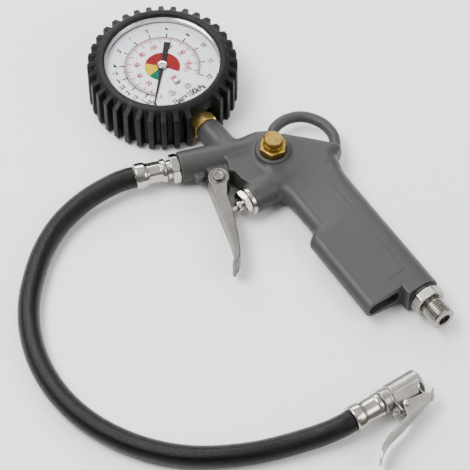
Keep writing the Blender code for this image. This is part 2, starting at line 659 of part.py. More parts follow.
def make_boot(gauge):
    front = BOOT_THICKNESS
    boot = piece("gauge_boot", turned([
        (27.0, 0.0), (35.8, 0.0), (BOOT_R, 1.4), (BOOT_R, front - 1.6), (35.9, front), (BOOT_LIP_R + 0.6, front),
        (BOOT_LIP_R, front - 0.6), (BOOT_LIP_R, front - 1.6), (34.3, front - 1.6), (34.3, 1.3), (27.0, 1.3),
    ], 72, hollow=True), "boot_rubber", gauge)
    pitch = 360.0 / BOOT_LUGS
    notch_lugs = (0, 1, BOOT_LUGS - 1)
    lugs = [boot_lug(pitch * number) for number in range(BOOT_LUGS) if number not in notch_lugs]
    combine(boot, "UNION", [merged(lugs)], gauge)
    combine(boot, "DIFFERENCE", [box((20.0, -9.5, -1.0), (45.0, 9.5, 20.5))], gauge)


def make_case(gauge):
    case = piece("gauge_case", turned([
        (0.0, CASE_BACK_Z), (CASE_R - 1.0, CASE_BACK_Z), (CASE_R, CASE_BACK_Z + 1.0), (CASE_R, CASE_RIM_Z),
        (CASE_R - 0.8, CASE_RIM_Z), (CASE_R - 0.8, CASE_BACK_Z + 1.2), (CASE_R - 1.2, CASE_BACK_Z + 0.8),
        (0.0, CASE_BACK_Z + 0.8),
    ], 48), "steel", gauge)
    combine(case, "DIFFERENCE", [moved(lying(cylinder(6.4, 30.0, 36.0, 20)), z=MID_Z)], gauge)
    piece("gauge_bezel", turned([
        (30.8, 27.4), (33.3, 27.4), (33.3, 22.5), (33.9, 22.5), (33.9, 28.1), (33.4, 28.5), (31.2, 28.5), (30.8, 28.1),
    ], 64, hollow=True), "steel", gauge)
    piece("gauge_lens", cylinder(32.9, CASE_RIM_Z + GAP, 27.1, 48), "clear_lens", gauge)
    dial = piece("gauge_dial", cylinder(31.9, DIAL_TOP_Z - 0.5, DIAL_TOP_Z, 48), "dial_white", gauge)
    combine(dial, "DIFFERENCE", [
        cylinder(2.0, 20.0, 26.0, 16),
        *[moved(cylinder(1.1, 20.0, 26.0, 12), *place) for place in dial_screw_places()],
        moved(cylinder(0.8, 20.0, 26.0, 8), *stop_pin_place()),
    ], gauge)


def dial_screw_places():
    return [tuple(turn(angle) * 20.0) for angle in (8.9, -20.1)]


def stop_pin_place():
    """The zero stop stands just past the pointer's rest."""
    return tuple(turn(ZERO_ANGLE + 6.5 - gauge_angle()) * 22.0)


def gauge_angle():
    """Plan direction from the gauge's centre towards the stem."""
    way = Vector(GAUGE_BOSS_FOOT) - Vector(GAUGE_AT)
    return math.degrees(math.atan2(way.y, way.x))


def make_dial_fixings(gauge):
    for name, place in zip(("dial_screw_left", "dial_screw_right"), dial_screw_places()):
        piece(name, moved(solid_turned([
            (0.8, 18.5), (0.8, DIAL_TOP_Z + GAP), (1.7, DIAL_TOP_Z + GAP), (1.7, DIAL_TOP_Z + 0.7), (1.1, DIAL_TOP_Z + 1.0),
        ], 16), *place), "nickel", gauge)
    piece("pointer_stop_pin", moved(cylinder(0.5, DIAL_TOP_Z - 1.6, POINTER_Z + 0.9, 10), *stop_pin_place()), "nickel", gauge)


def make_pointer(pointer):
    """The pointer's frame has +X along the pointer at zero."""
    outline = [(2.9, -0.75), (27.5, -0.25), (27.5, 0.25), (2.9, 0.75), *arc((0, 0), 3.0, 20, 165, 7), (-3.4, 0.8),
               (-15.0, 1.75), (-15.0, -1.75), (-3.4, -0.8), *arc((0, 0), 3.0, 195, 340, 7)]
    hand = piece("gauge_pointer", prism(outline, POINTER_Z, POINTER_Z + 0.4), "pointer_black", pointer)
    combine(hand, "DIFFERENCE", [cylinder(1.1, 20.0, 26.0, 16)], pointer)


def gear_outline(teeth, module, first, last, hub=None):
    """Straight-sided teeth between two directions, on the gear's own circle; thin, so that they run free."""
    pitch_r = module * teeth / 2
    tip_r = pitch_r + 0.85 * module
    root_r = pitch_r - 1.15 * module
    pitch = 360.0 / teeth
    half_root = 0.23 * pitch
    half_tip = 0.1 * pitch
    points = []
    for number in range(first, last + 1):
        middle = pitch * number
        points += [tuple(turn(middle - half_root) * root_r), tuple(turn(middle - half_tip) * tip_r),
                   tuple(turn(middle + half_tip) * tip_r), tuple(turn(middle + half_root) * root_r)]
    return points + (hub or [])


def make_arbor(pointer, swing_start):
    """The pinion's teeth are turned half a pitch from the sector's middle tooth at rest."""
    arbor = piece("pointer_arbor", solid_turned([
        (0.8, 12.9), (0.8, 23.9), (0.7, 24.0), (0.7, POINTER_Z + 0.7), (2.4, POINTER_Z + 0.7), (2.4, POINTER_Z + 1.1),
        (1.9, POINTER_Z + 1.4),
    ], 20), "brass", pointer)
    pinion = prism(gear_outline(PINION_TEETH, GEAR_MODULE, 0, PINION_TEETH - 1), 14.7, 16.6)
    combine(arbor, "UNION", [moved(pinion, angle=swing_start)], pointer)


def make_sector(sector):
    """The sector's frame has +X towards the gauge's centre. At rest the sector is turned back by half its swing."""
    teeth = 7
    hub = [tuple(turn(angle) * 2.6) for angle in (60, 74)]
    hub += arc(tuple(turn(SECTOR_TAIL_ANGLE + SECTOR_REST) * SECTOR_TAIL), 1.4, SECTOR_TAIL_ANGLE + SECTOR_REST - 90,
               SECTOR_TAIL_ANGLE + SECTOR_REST + 90, 7)
    hub += [tuple(turn(angle) * 2.6) for angle in (142, 180, 220, 260, 300)]
    gear = piece("sector_gear", moved(prism(gear_outline(SECTOR_TEETH, GEAR_MODULE, -teeth, teeth, hub), 15.0, 16.2),
                                      angle=-SECTOR_REST), "brass", sector)
    combine(gear, "UNION", [cylinder(1.1, 12.9, 19.7, 16)], sector)


def make_movement(gauge, centre_angle):
    centre = Vector((0.0, 0.0))
    pivot = turn(centre_angle) * sector_distance()
    block_pillar = Vector((10.5, 0.0))
    sector_pillar = turn(centre_angle + 18.0) * 20.0
    for name, low, high in (("movement_plate_lower", 12.6, 13.6), ("movement_plate_upper", 19.0, 20.0)):
        plate = piece(name, capsule(block_pillar, centre, 4.0, low, high), "brass", gauge)
        combine(plate, "UNION", [capsule(centre, pivot, 3.2, low, high), capsule(pivot, sector_pillar, 2.4, low, high)], gauge)
        combine(plate, "DIFFERENCE", [
            cylinder(1.1, 10.0, 21.0, 14),
            moved(cylinder(1.4, 10.0, 21.0, 14), *pivot),
        ], gauge)
    for name, place in (("movement_pillar_block", block_pillar), ("movement_pillar_sector", sector_pillar)):
        piece(name, moved(cylinder(1.5, 13.6 + GAP, 19.0 - GAP, 14), *place), "brass", gauge)
    spiral = [tuple(turn(360.0 * step / 16) * (1.7 + 3.0 * step / 48)) for step in range(49)]
    piece("hairspring", strip(spiral, 0.25, 17.5, 18.1), "steel", gauge)


def capsule(start, end, radius, low, high):
    """A round-ended bar in plan."""
    way = end - start
    angle = math.degrees(math.atan2(way.y, way.x))
    outline = arc(tuple(start), radius, angle + 90, angle + 270, 9) + arc(tuple(end), radius, angle - 90, angle + 90, 9)
    return prism(outline, low, high)


def sector_distance():
    return GEAR_MODULE * (PINION_TEETH + SECTOR_TEETH) / 2


def make_bourdon(gauge, tip_angle):
    """The C-shaped tube runs clockwise from the socket block to its tip, which carries a flat tab for the link."""
    start = -math.degrees(math.asin(8.3 / BOURDON_R)) - 1.2
    outer = arc((0, 0), BOURDON_R + 1.2, start, tip_angle, 34)
    inner = arc((0, 0), BOURDON_R - 1.2, tip_angle, start, 34)
    bourdon = piece("bourdon_tube", prism(outer + inner, 7.0, 15.2), "brass", gauge)
    combine(bourdon, "UNION", [moved(cylinder(1.6, 14.0, 16.0, 12), *(turn(tip_angle + 2.5) * BOURDON_R))], gauge)


def make_socket(gauge):
    """The brass stem: block inside the case, neck, hexagon and thread."""
    reach = (Vector(GAUGE_BOSS_FOOT) - Vector(GAUGE_AT)).length
    mouth = reach - GAUGE_BOSS_LENGTH
    washer = 0.8
    socket = piece("gauge_socket", box((8.0, -8.3, 5.0), (30.0, 8.3, 12.3)), "brass", gauge)
    hex_end = mouth - 2 * GAP - washer
    combine(socket, "UNION", [
        moved(lying(cylinder(6.0, 25.0, 37.0, 20)), z=MID_Z),
        moved(lying(prism(hexagon(14.0, 30.0), 35.6, hex_end)), z=MID_Z),
        moved(lying(cylinder(GAUGE_THREAD_R, 38.0, mouth + GAUGE_THREAD_LENGTH, 20)), z=MID_Z),
        *[moved(cylinder(2.0, 11.0, DIAL_TOP_Z - 0.8, 12), *place) for place in dial_screw_places()],
    ], gauge)
    combine(socket, "DIFFERENCE", [
        moved(lying(cylinder(1.5, 20.0, 60.0, 10)), z=MID_Z),
        *[moved(cylinder(1.1, 17.5, 26.0, 10), *place) for place in dial_screw_places()],
    ], gauge)
    piece("gauge_stem_washer", moved(lying(ring(GAUGE_THREAD_R + GAP, 6.9, mouth - GAP - washer, mouth - GAP, 24)), z=MID_Z),
          "seal_rubber", gauge)


def make_link(link, reach):
    """A flat bar from the sector's tail to the tube's tip, in the frame of the tail's pivot."""
    piece("bourdon_link", capsule(Vector((0.0, 0.0)), reach, 0.9, 16.5, 17.1), "steel", link)


def make_gauge():
    stem = gauge_angle()
    gauge = empty("gauge_frame", GAUGE_AT, 0.0, stem)
    make_boot(gauge)
    make_case(gauge)
    make_dial_fixings(gauge)
    pointer = empty("pointer_frame", GAUGE_AT, 0.0, ZERO_ANGLE)
    make_pointer(pointer)
    sector_at = walk(GAUGE_AT, SECTOR_AT_ANGLE, sector_distance())
    sector = empty("sector_frame", sector_at, 0.0, SECTOR_AT_ANGLE + 180.0)
    make_sector(sector)
    sector_pitch = 360.0 / SECTOR_TEETH
    phase = (SECTOR_REST / sector_pitch) % 1.0
    make_arbor(pointer, SECTOR_AT_ANGLE + (0.5 + phase) * 360.0 / PINION_TEETH - ZERO_ANGLE)
    make_movement(gauge, SECTOR_AT_ANGLE - stem)
    make_bourdon(gauge, BOURDON_TIP_ANGLE)
    tail = walk(sector_at, SECTOR_AT_ANGLE + 180.0 + SECTOR_TAIL_ANGLE, SECTOR_TAIL)
    tip = walk(GAUGE_AT, stem + BOURDON_TIP_ANGLE + 2.5, BOURDON_R)
    make_link(empty("link_frame", tail), tip - tail)
    make_socket(gauge)


def main():
    for old in list(bpy.data.objects):
        bpy.data.objects.remove(old)
    gun = empty("gun_frame", (0.0, 0.0), MID_Z)
    gauge_line = empty("gauge_line", GAUGE_BOSS_FOOT, MID_Z, gauge_angle() + 180.0)
    valve = empty("valve_frame", VALVE_END, MID_Z, VALVE_ANGLE)
    grip = empty("grip_frame", GRIP_TOP, MID_Z, GRIP_ANGLE)
    bleed = empty("bleed_frame", BLEED_AT)
    pivot = empty("trigger_pivot", TRIGGER_PIVOT, MID_Z)
    inlet_at = walk(walk(GRIP_TOP, GRIP_ANGLE, INLET_BOSS_END), GRIP_ANGLE - 90.0, GRIP_SPINE_R)
    inlet = empty("inlet_frame", inlet_at, MID_Z, GRIP_ANGLE)
    make_casting(gun, gauge_line, valve, grip, bleed)
    make_trigger(pivot)
    make_pivot_pin(pivot)
    make_valve(valve)
    make_bleed(bleed)
    make_inlet(inlet)
    make_gauge()
    make_gun_fitting(gun)
    make_ferrule("hose_ferrule_gun", empty("gun_ferrule_frame", (-25.3, 0.0), MID_Z))
    make_hose()
    chuck = empty("chuck_frame", CHUCK_MOUTH, CHUCK_Z, CHUCK_ANGLE)
    ferrule_at = walk(CHUCK_MOUTH, CHUCK_ANGLE, -42.4)
    make_ferrule("hose_ferrule_chuck", empty("chuck_ferrule_frame", ferrule_at, CHUCK_Z, CHUCK_ANGLE))
    make_chuck(chuck)
    along, across = CHUCK_LEVER_AT
    lever_at = walk(walk(CHUCK_MOUTH, CHUCK_ANGLE, along), CHUCK_ANGLE + 90.0, across)
    make_clip_lever(empty("chuck_lever_frame", lever_at, CHUCK_Z, CHUCK_ANGLE))


main()
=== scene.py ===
"""The looks of the tyre inflator with gauge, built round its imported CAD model."""
import math

import bmesh
import bpy
import numpy as np
from mathutils import Matrix, Vector

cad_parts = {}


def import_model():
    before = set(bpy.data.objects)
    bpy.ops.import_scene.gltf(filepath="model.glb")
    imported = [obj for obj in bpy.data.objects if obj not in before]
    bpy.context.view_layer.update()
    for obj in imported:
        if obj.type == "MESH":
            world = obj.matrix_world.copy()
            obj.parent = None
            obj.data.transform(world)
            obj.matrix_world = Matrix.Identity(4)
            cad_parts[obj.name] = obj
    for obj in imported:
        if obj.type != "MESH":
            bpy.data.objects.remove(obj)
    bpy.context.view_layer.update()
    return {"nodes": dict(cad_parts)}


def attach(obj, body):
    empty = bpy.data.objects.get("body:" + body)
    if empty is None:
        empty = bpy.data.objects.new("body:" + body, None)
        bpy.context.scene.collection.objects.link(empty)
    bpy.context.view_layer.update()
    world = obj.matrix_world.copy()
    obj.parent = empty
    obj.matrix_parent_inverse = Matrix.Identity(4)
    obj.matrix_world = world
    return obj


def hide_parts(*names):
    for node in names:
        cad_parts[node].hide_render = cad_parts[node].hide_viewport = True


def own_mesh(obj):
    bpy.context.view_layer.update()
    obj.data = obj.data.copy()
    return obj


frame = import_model()

# Plan points are in millimetres from the barrel's front face, as in the CAD. ORIGIN is the row frame's origin.
MM = 0.001
ORIGIN = np.array((40.64, -16.82))
MID = 10.0
STEM_FOOT, GAUGE_AT = (30.2, 0.0), (6.3, 61.1)
VALVE_END, VALVE_ANGLE = (32.2, -31.7), 19.0
GRIP_TOP, GRIP_ANGLE = (83.6, -22.0), -71.8
TRIGGER_AT = (18.3, -16.3)
BLEED_AT = (51.1, -9.0)
CHUCK_MOUTH, CHUCK_Z, CHUCK_ANGLE = (85.6, -165.6), 8.6, 18.5
LEVER_AT, SPRING_AT = (-14.6, -8.9), (-20.6, -9.2)
STEM_ANGLE = math.degrees(math.atan2(-61.1, 23.9))
ZERO_ANGLE = 246.8
PRINT_Z, INK_THICKNESS = 23.63, 0.02
HAND_Z, HAND_THICKNESS = 24.1, 0.4
DIAL_TURN = 15.2
SOCKET_LENGTH = 22.8
LUG_COUNT, LUG_SHIFT, LUG_HEIGHT, LUG_RADIUS = 36, 0.45, 4.5, 38.0
BAR_PER_PSI = 0.0689476
CLOTH_PITCH = 0.00115
HOSE_R = 6.0
HOSE_ROUTE = (
    (-25.7, 0.0, 10.0), (-30.2, -0.2, 10.0), (-36.2, -1.2, 9.9), (-44.9, -3.6, 9.4), (-54.4, -7.2, 8.6),
    (-64.0, -12.4, 7.6), (-72.9, -19.2, 6.8), (-80.8, -27.8, 6.3), (-87.7, -38.0, 6.1), (-93.5, -49.5, 6.05),
    (-98.3, -61.5, 6.05), (-101.3, -74.2, 6.05), (-102.5, -87.3, 6.05), (-101.9, -100.2, 6.05), (-99.5, -112.6, 6.05),
    (-95.6, -124.3, 6.05), (-90.3, -135.0, 6.05), (-83.8, -144.6, 6.05), (-76.3, -153.1, 6.05), (-68.1, -160.6, 6.05),
    (-59.2, -167.1, 6.05), (-49.5, -172.6, 6.05), (-39.1, -177.0, 6.05), (-28.0, -180.1, 6.05), (-16.2, -182.2, 6.05),
    (-3.5, -183.4, 6.05), (10.2, -183.4, 6.2), (24.5, -182.8, 6.9), (33.0, -182.1, 7.7), (40.4, -180.75, 8.4),
    (45.0, -179.2, 8.6),
)


def turn(angle):
    return np.array((math.cos(math.radians(angle)), math.sin(math.radians(angle))))


def walk(plan, angle, distance):
    return np.asarray(plan, float) + turn(angle) * distance


def world(points, plan=(0.0, 0.0), z=0.0, angle=0.0):
    """Local millimetres to the row frame's metres."""
    points = np.asarray(points, float)
    c, s = turn(angle)
    x = points[..., 0] * c - points[..., 1] * s + plan[0] - ORIGIN[0]
    y = points[..., 0] * s + points[..., 1] * c + plan[1] - ORIGIN[1]
    return np.stack((x, y, points[..., 2] + z), axis=-1) * MM


def smoothed(points, count):
    """A Catmull-Rom curve through the points, read at evenly spaced stations."""
    points = np.asarray(points, float)
    guides = np.vstack((2 * points[0] - points[1], points, 2 * points[-1] - points[-2]))
    t = np.linspace(0.0, 1.0, 40, endpoint=False)[:, None]
    fine = [0.5 * (2 * b + (c - a) * t + (2 * a - 5 * b + 4 * c - d) * t**2 + (3 * b - a - 3 * c + d) * t**3)
            for a, b, c, d in zip(guides, guides[1:], guides[2:], guides[3:])]
    fine = np.vstack((*fine, points[-1]))
    along = np.concatenate(([0.0], np.cumsum(np.linalg.norm(np.diff(fine, axis=0), axis=1))))
    wanted = np.linspace(0.0, along[-1], count)
    return np.stack([np.interp(wanted, along, fine[:, axis]) for axis in range(fine.shape[1])], axis=1)


def placed(name, data):
    made = bpy.data.objects.new(name, data)
    bpy.context.scene.collection.objects.link(made)
    return made


def from_bmesh(name, shape, material=None):
    mesh = bpy.data.meshes.new(name)
    shape.to_mesh(mesh)
    shape.free()
    if material:
        mesh.materials.append(material)
    return placed(name, mesh)


# Camera, floor and light.

TO_CAMERA = (-0.15113, -0.55627, 0.81714)
AIM, CAMERA_DISTANCE, LENS = (17.76, -52.10, 10.0), 1.3, 184.2
FLOOR_HALF, FLOOR_Z = 6.0, -0.0002
WORLD_STRENGTH = 0.95
BACKDROP = (0.86, 0.86, 0.87, 1)
# Brightness against height. The span dims the near side, which gives the metals something dark to reflect.
WORLD_STOPS = ((0.0, 0.10), (0.08, 0.14), (0.22, 1.1), (0.42, 0.45), (0.7, 0.6), (1.0, 1.25))
NEAR_SIDE = (-0.9, 0.35, 0.4, 1.0)
LIT_POINT = (-0.02, -0.02, 0)
LIGHTS = (
    ("key_light", (-0.55, 0.15, 1.1), 24.0, (0.9, 0.5)),
    ("fill_light", (0.85, -0.65, 0.85), 10.0, (0.7, 0.7)),
    ("back_light", (0.1, 1.1, 0.8), 14.0, (1.2, 0.35)),
)


def make_stage():
    camera = placed("camera", bpy.data.cameras.new("camera"))
    back = Vector(TO_CAMERA).normalized()
    camera.location = Vector(world(AIM)) + back * CAMERA_DISTANCE
    camera.rotation_mode = "QUATERNION"
    camera.rotation_quaternion = (-back).to_track_quat("-Z", "Y")
    camera.data.lens = LENS
    camera.data.clip_end = 20.0
    bpy.context.scene.camera = camera

    mesh = bpy.data.meshes.new("floor")
    corners = ((-1, -1), (1, -1), (1, 1), (-1, 1))
    mesh.from_pydata([(FLOOR_HALF * x, FLOOR_HALF * y, FLOOR_Z) for x, y in corners], [], [(0, 1, 2, 3)])
    mesh.materials.append(shaded("pale_floor", (0.93, 0.93, 0.93), 0.9, Specular_IOR_Level=0.0))
    placed("floor", mesh)

    scene_world = bpy.data.worlds.new("studio")
    bpy.context.scene.world = scene_world
    scene_world.use_nodes = True
    nodes, links = scene_world.node_tree.nodes, scene_world.node_tree.links
    background = nodes["Background"]
    background.inputs["Strength"].default_value = WORLD_STRENGTH
    place = nodes.new("ShaderNodeTexCoord")
    split = nodes.new("ShaderNodeSeparateXYZ")
    ramp = nodes.new("ShaderNodeValToRGB")
    links.new(place.outputs["Generated"], split.inputs[0])
    links.new(split.outputs["Z"], ramp.inputs[0])
    side = nodes.new("ShaderNodeMapRange")
    set_span(side, *NEAR_SIDE)
    links.new(split.outputs["Y"], side.inputs["Value"])
    dim = nodes.new("ShaderNodeMix")
    dim.data_type, dim.blend_type = "RGBA", "MULTIPLY"
    dim.inputs[0].default_value = 1.0
    links.new(ramp.outputs[0], dim.inputs[6])
    links.new(side.outputs[0], dim.inputs[7])
    seen = nodes.new("ShaderNodeLightPath")
    plain = nodes.new("ShaderNodeMix")
    plain.data_type = "RGBA"
    links.new(seen.outputs["Is Camera Ray"], plain.inputs[0])
    links.new(dim.outputs[2], plain.inputs[6])
    plain.inputs[7].default_value = BACKDROP
    links.new(plain.outputs[2], background.inputs["Color"])
    set_stops(ramp, [(position, (value, value, value * 1.01)) for position, value in WORLD_STOPS])
    for name, position, power, size in LIGHTS:
        light = placed(name, bpy.data.lights.new(name, "AREA"))
        light.data.shape = "RECTANGLE"
        light.data.size, light.data.size_y = size
        light.data.energy = power
        light.location = position
        light.rotation_mode = "QUATERNION"
        light.rotation_quaternion = (Vector(LIT_POINT) - Vector(position)).to_track_quat("-Z", "Y")


def set_span(node, *values):
    for socket, value in zip(("From Min", "From Max", "To Min", "To Max"), values):
        node.inputs[socket].default_value = value


def set_stops(ramp, stops):
    while len(ramp.color_ramp.elements) < len(stops):
        ramp.color_ramp.elements.new(0.5)
    for element, (position, colour) in zip(ramp.color_ramp.elements, stops):
        element.position = position
        element.color = (*colour, 1)


# Materials. Coordinates are the object's own, in metres, so that every pattern is at real scale.

def darker(colour, share):
    return tuple(share * part for part in colour)


def shaded(name, colour, roughness, metallic=0.0, **more):
    made = bpy.data.materials.new(name)
    made.use_nodes = True
    shader = made.node_tree.nodes["Principled BSDF"]
    shader.inputs["Base Color"].default_value = (*colour, 1)
    shader.inputs["Roughness"].default_value = roughness
    shader.inputs["Metallic"].default_value = metallic
    for socket, value in more.items():
        shader.inputs[socket.replace("_", " ")].default_value = value
    return made


class Graph:
    """Adds nodes to one material."""

    def __init__(self, material, coordinates="Object"):
        self.tree = material.node_tree
        self.shader = self.tree.nodes["Principled BSDF"]
        self.place = self.node("TexCoord").outputs[coordinates]

    def node(self, kind):
        return self.tree.nodes.new("ShaderNode" + kind)

    def link(self, source, target):
        self.tree.links.new(source, target)

    def noise(self, size, detail=3.0, rough=0.55):
        """size is the pattern's grain in millimetres."""
        node = self.node("TexNoise")
        node.inputs["Scale"].default_value = 1000.0 / size
        node.inputs["Detail"].default_value = detail
        node.inputs["Roughness"].default_value = rough
        self.link(self.place, node.inputs["Vector"])
        return node.outputs["Fac"]

    def math(self, operation, first, second=0.0):
        node = self.node("Math")
        node.operation = operation
        for socket, value in zip(node.inputs, (first, second)):
            if isinstance(value, (int, float)):
                socket.default_value = value
            else:
                self.link(value, socket)
        return node.outputs[0]

    def span(self, factor, low, high, to_low, to_high):
        node = self.node("MapRange")
        set_span(node, low, high, to_low, to_high)
        self.link(factor, node.inputs["Value"])
        return node.outputs[0]

    def ramp(self, factor, stops):
        node = self.node("ValToRGB")
        set_stops(node, stops)
        self.link(factor, node.inputs[0])
        return node.outputs[0]

    def mix(self, factor, first, second):
        node = self.node("Mix")
        node.data_type = "RGBA"
        for socket, value in zip((node.inputs[0], node.inputs[6], node.inputs[7]), (factor, first, second)):
            if isinstance(value, (int, float)):
                socket.default_value = value
            elif isinstance(value, tuple):
                socket.default_value = (*value, 1)
            else:
                self.link(value, socket)
        return node.outputs[2]

    def edges(self, spread):
        """How convex the surface is, from 0 to 1."""
        node = self.node("NewGeometry")
        return self.span(node.outputs["Pointiness"], 0.5 + spread * 0.2, 0.5 + spread, 0.0, 1.0)

    def hollows(self):
        """How concave the surface is, from 0 to 0.9, used to paint shade into hollows."""
        node = self.node("NewGeometry")
        return self.span(node.outputs["Pointiness"], 0.4, 0.49, 0.9, 0.0)

    def relief(self, height, distance, under=None):
        """distance is the relief in millimetres. height is a noise's settings, or the output of a node."""
        node = self.node("Bump")
        node.inputs["Distance"].default_value = distance * MM
        self.link(self.noise(*height) if isinstance(height, tuple) else height, node.inputs["Height"])
        if under is not None:
            self.link(under, node.inputs["Normal"])
        self.link(node.outputs[0], self.shader.inputs["Normal"])
        return node.outputs[0]

    def colour(self, source):
        self.link(source, self.shader.inputs["Base Color"])

    def gloss(self, noise, low, high, span=(0.3, 0.7)):
        """Roughness from low to high, as the noise with these settings goes over span."""
        self.link(self.span(self.noise(*noise), *span, low, high), self.shader.inputs["Roughness"])


def grey_paint():
    """Satin stove enamel over a die casting: a fine orange peel, slight tone shifts, and thin spots on the edges."""
    made = shaded("grey_casting_paint", (0.048, 0.047, 0.046), 0.42, 0.0, Specular_IOR_Level=0.2)
    graph = Graph(made)
    colour = graph.ramp(graph.noise(38.0, 4.0), ((0.3, (0.0415, 0.0405, 0.0392)), (0.7, (0.0495, 0.0483, 0.0466))))
    grain = graph.noise(0.45, 2.0)
    colour = graph.mix(graph.span(grain, 0.35, 0.75, 0.0, 0.16), colour, (0.044, 0.043, 0.042))
    graph.colour(graph.mix(graph.math("MULTIPLY", graph.edges(0.05), 0.3), colour, (0.11, 0.108, 0.105)))
    graph.gloss((9.0, 5.0), 0.36, 0.5)
    graph.relief(grain, 0.012, under=graph.relief((1.6, 2.0, 0.4), 0.022))
    return made


def plated(name, colour, dark, roughness, grain=0.0, cast=0.0):
    """Nickel plate: slow tone shifts, smears that change the gloss, painted shade in its hollows, and either turning
    marks or a cast surface.
    """
    made = shaded(name, colour, roughness, 1.0)
    graph = Graph(made)
    body = graph.mix(graph.span(graph.noise(7.0, 4.0), 0.35, 0.7, 0.0, 1.0), colour, dark)
    specks = graph.span(graph.noise(0.7, 3.0, 0.7), 0.62, 0.75, 0.0, 0.22)
    body = graph.mix(specks, body, darker(dark, 0.55))
    # Painted shade: the colour darkens to a fifth of the dark tone in concave places such as thread grooves and inner
    # corners.
    graph.colour(graph.mix(graph.hollows(), body, darker(dark, 0.22)))
    graph.gloss((3.0, 5.0, 0.65), roughness * 0.85, roughness * 1.25, (0.3, 0.72))
    normal = graph.relief((2.2, 2.0), 0.01)
    if grain:
        graph.relief((grain, 2.0), 0.006, under=normal)
    if cast:
        graph.relief((cast, 3.0, 0.6), 0.035, under=normal)
    return made


def yellow_zinc():
    """Yellow chromated zinc: gold that drifts to pink and green."""
    made = shaded("yellow_zinc_plate", (0.72, 0.52, 0.2), 0.3, 1.0)
    graph = Graph(made)
    graph.colour(graph.ramp(graph.noise(3.4, 3.0, 0.6), (
        (0.28, (0.18, 0.17, 0.045)), (0.42, (0.32, 0.235, 0.045)), (0.55, (0.38, 0.26, 0.06)),
        (0.66, (0.34, 0.125, 0.045)), (0.8, (0.23, 0.11, 0.085)),
    )))
    graph.gloss((1.2, 4.0), 0.24, 0.46)
    graph.relief((0.5, 3.0), 0.02)
    return made


def polished_brass():
    made = shaded("stem_brass", (0.86, 0.62, 0.2), 0.34, 0.8)
    graph = Graph(made)
    graph.colour(graph.ramp(graph.noise(4.0, 4.0), ((0.3, (0.74, 0.52, 0.13)), (0.7, (0.90, 0.68, 0.22)))))
    graph.gloss((5.0, 2.0), 0.31, 0.37)
    graph.relief((0.3, 2.0), 0.003)
    return made


def steel(name, colour, roughness):
    return plated(name, colour, darker(colour, 0.8), roughness, grain=0.3)


def boot_rubber():
    """Moulded rubber: matt with a faint bloom on its edges and a fine spark-eroded grain."""
    made = shaded("boot_rubber_moulded", (0.004, 0.004, 0.004), 0.46, 0.0, Specular_IOR_Level=0.17)
    graph = Graph(made)
    bloom = graph.noise(6.0, 5.0, 0.65)
    colour = graph.ramp(bloom, ((0.3, (0.0045, 0.0045, 0.0046)), (0.75, (0.009, 0.009, 0.0088))))
    graph.colour(graph.mix(graph.math("MULTIPLY", graph.edges(0.06), 0.5), colour, (0.02, 0.0196, 0.019)))
    graph.gloss((2.5, 5.0, 0.7), 0.42, 0.62, (0.3, 0.72))
    graph.relief((4.0, 2.0), 0.04, under=graph.relief((0.35, 3.0, 0.6), 0.03))
    return made


def hose_rubber():
    """A wrapped rubber cover: the print of the cloth that it was cured in, along the hose and round it."""
    made = shaded("hose_rubber_cover", (0.003, 0.003, 0.003), 0.25, 0.0, Specular_IOR_Level=0.19)
    graph = Graph(made, "UV")
    split = graph.node("SeparateXYZ")
    graph.link(graph.place, split.inputs[0])
    threads = []
    for lean in (1.0, -1.0):
        phase = graph.math("ADD", split.outputs["X"], graph.math("MULTIPLY", split.outputs["Y"], lean))
        threads.append(graph.math("SINE", graph.math("MULTIPLY", phase, math.tau / CLOTH_PITCH)))
    worn = graph.noise(3.0, 5.0, 0.7)
    graph.colour(graph.ramp(worn, ((0.3, (0.0016, 0.0016, 0.0017)), (0.8, (0.004, 0.004, 0.0038)))))
    graph.gloss((1.0, 4.0, 0.7), 0.18, 0.32, (0.3, 0.72))
    graph.relief(graph.math("MULTIPLY", *threads), 0.042, under=graph.relief((1.4, 3.0, 0.5), 0.012))
    return made


def seal_rubber():
    made = shaded("seal_rubber_plain", (0.02, 0.02, 0.02), 0.6)
    graph = Graph(made)
    graph.colour(graph.ramp(graph.noise(1.0), ((0.3, (0.014, 0.014, 0.014)), (0.7, (0.03, 0.03, 0.03)))))
    graph.relief((0.4,), 0.02)
    return made


def dial_enamel():
    made = shaded("dial_enamel", (0.80, 0.82, 0.86), 0.42, 0.0, Specular_IOR_Level=0.2)
    graph = Graph(made)
    graph.colour(graph.ramp(graph.noise(24.0, 2.0), ((0.3, (0.77, 0.79, 0.84)), (0.7, (0.83, 0.85, 0.88)))))
    graph.gloss((1.0, 3.0), 0.36, 0.5)
    graph.relief((0.6,), 0.004)
    return made


def ink(name, colour):
    made = shaded(name, colour, 0.45, 0.0, Specular_IOR_Level=0.08)
    graph = Graph(made)
    pale = tuple(min(1.0, 1.2 * part + 0.003) for part in colour)
    graph.colour(graph.mix(graph.span(graph.noise(0.25, 3.0), 0.45, 0.7, 0.0, 0.45), colour, pale))
    return made


def clear_window():
    """The moulded window: clear, with a weak reflection and a few faint smears."""
    made = shaded("clear_window", (0.01, 0.01, 0.012), 0.05, 0.0, Alpha=0.05, Specular_IOR_Level=0.35)
    Graph(made).gloss((12.0, 4.0), 0.03, 0.12, (0.35, 0.7))
    return made


# Meshes. CHAMFER is a hexagon's flat end as a share of its size over flats.

CHAMFER = 0.955
TURNED_EDGE = math.radians(38)


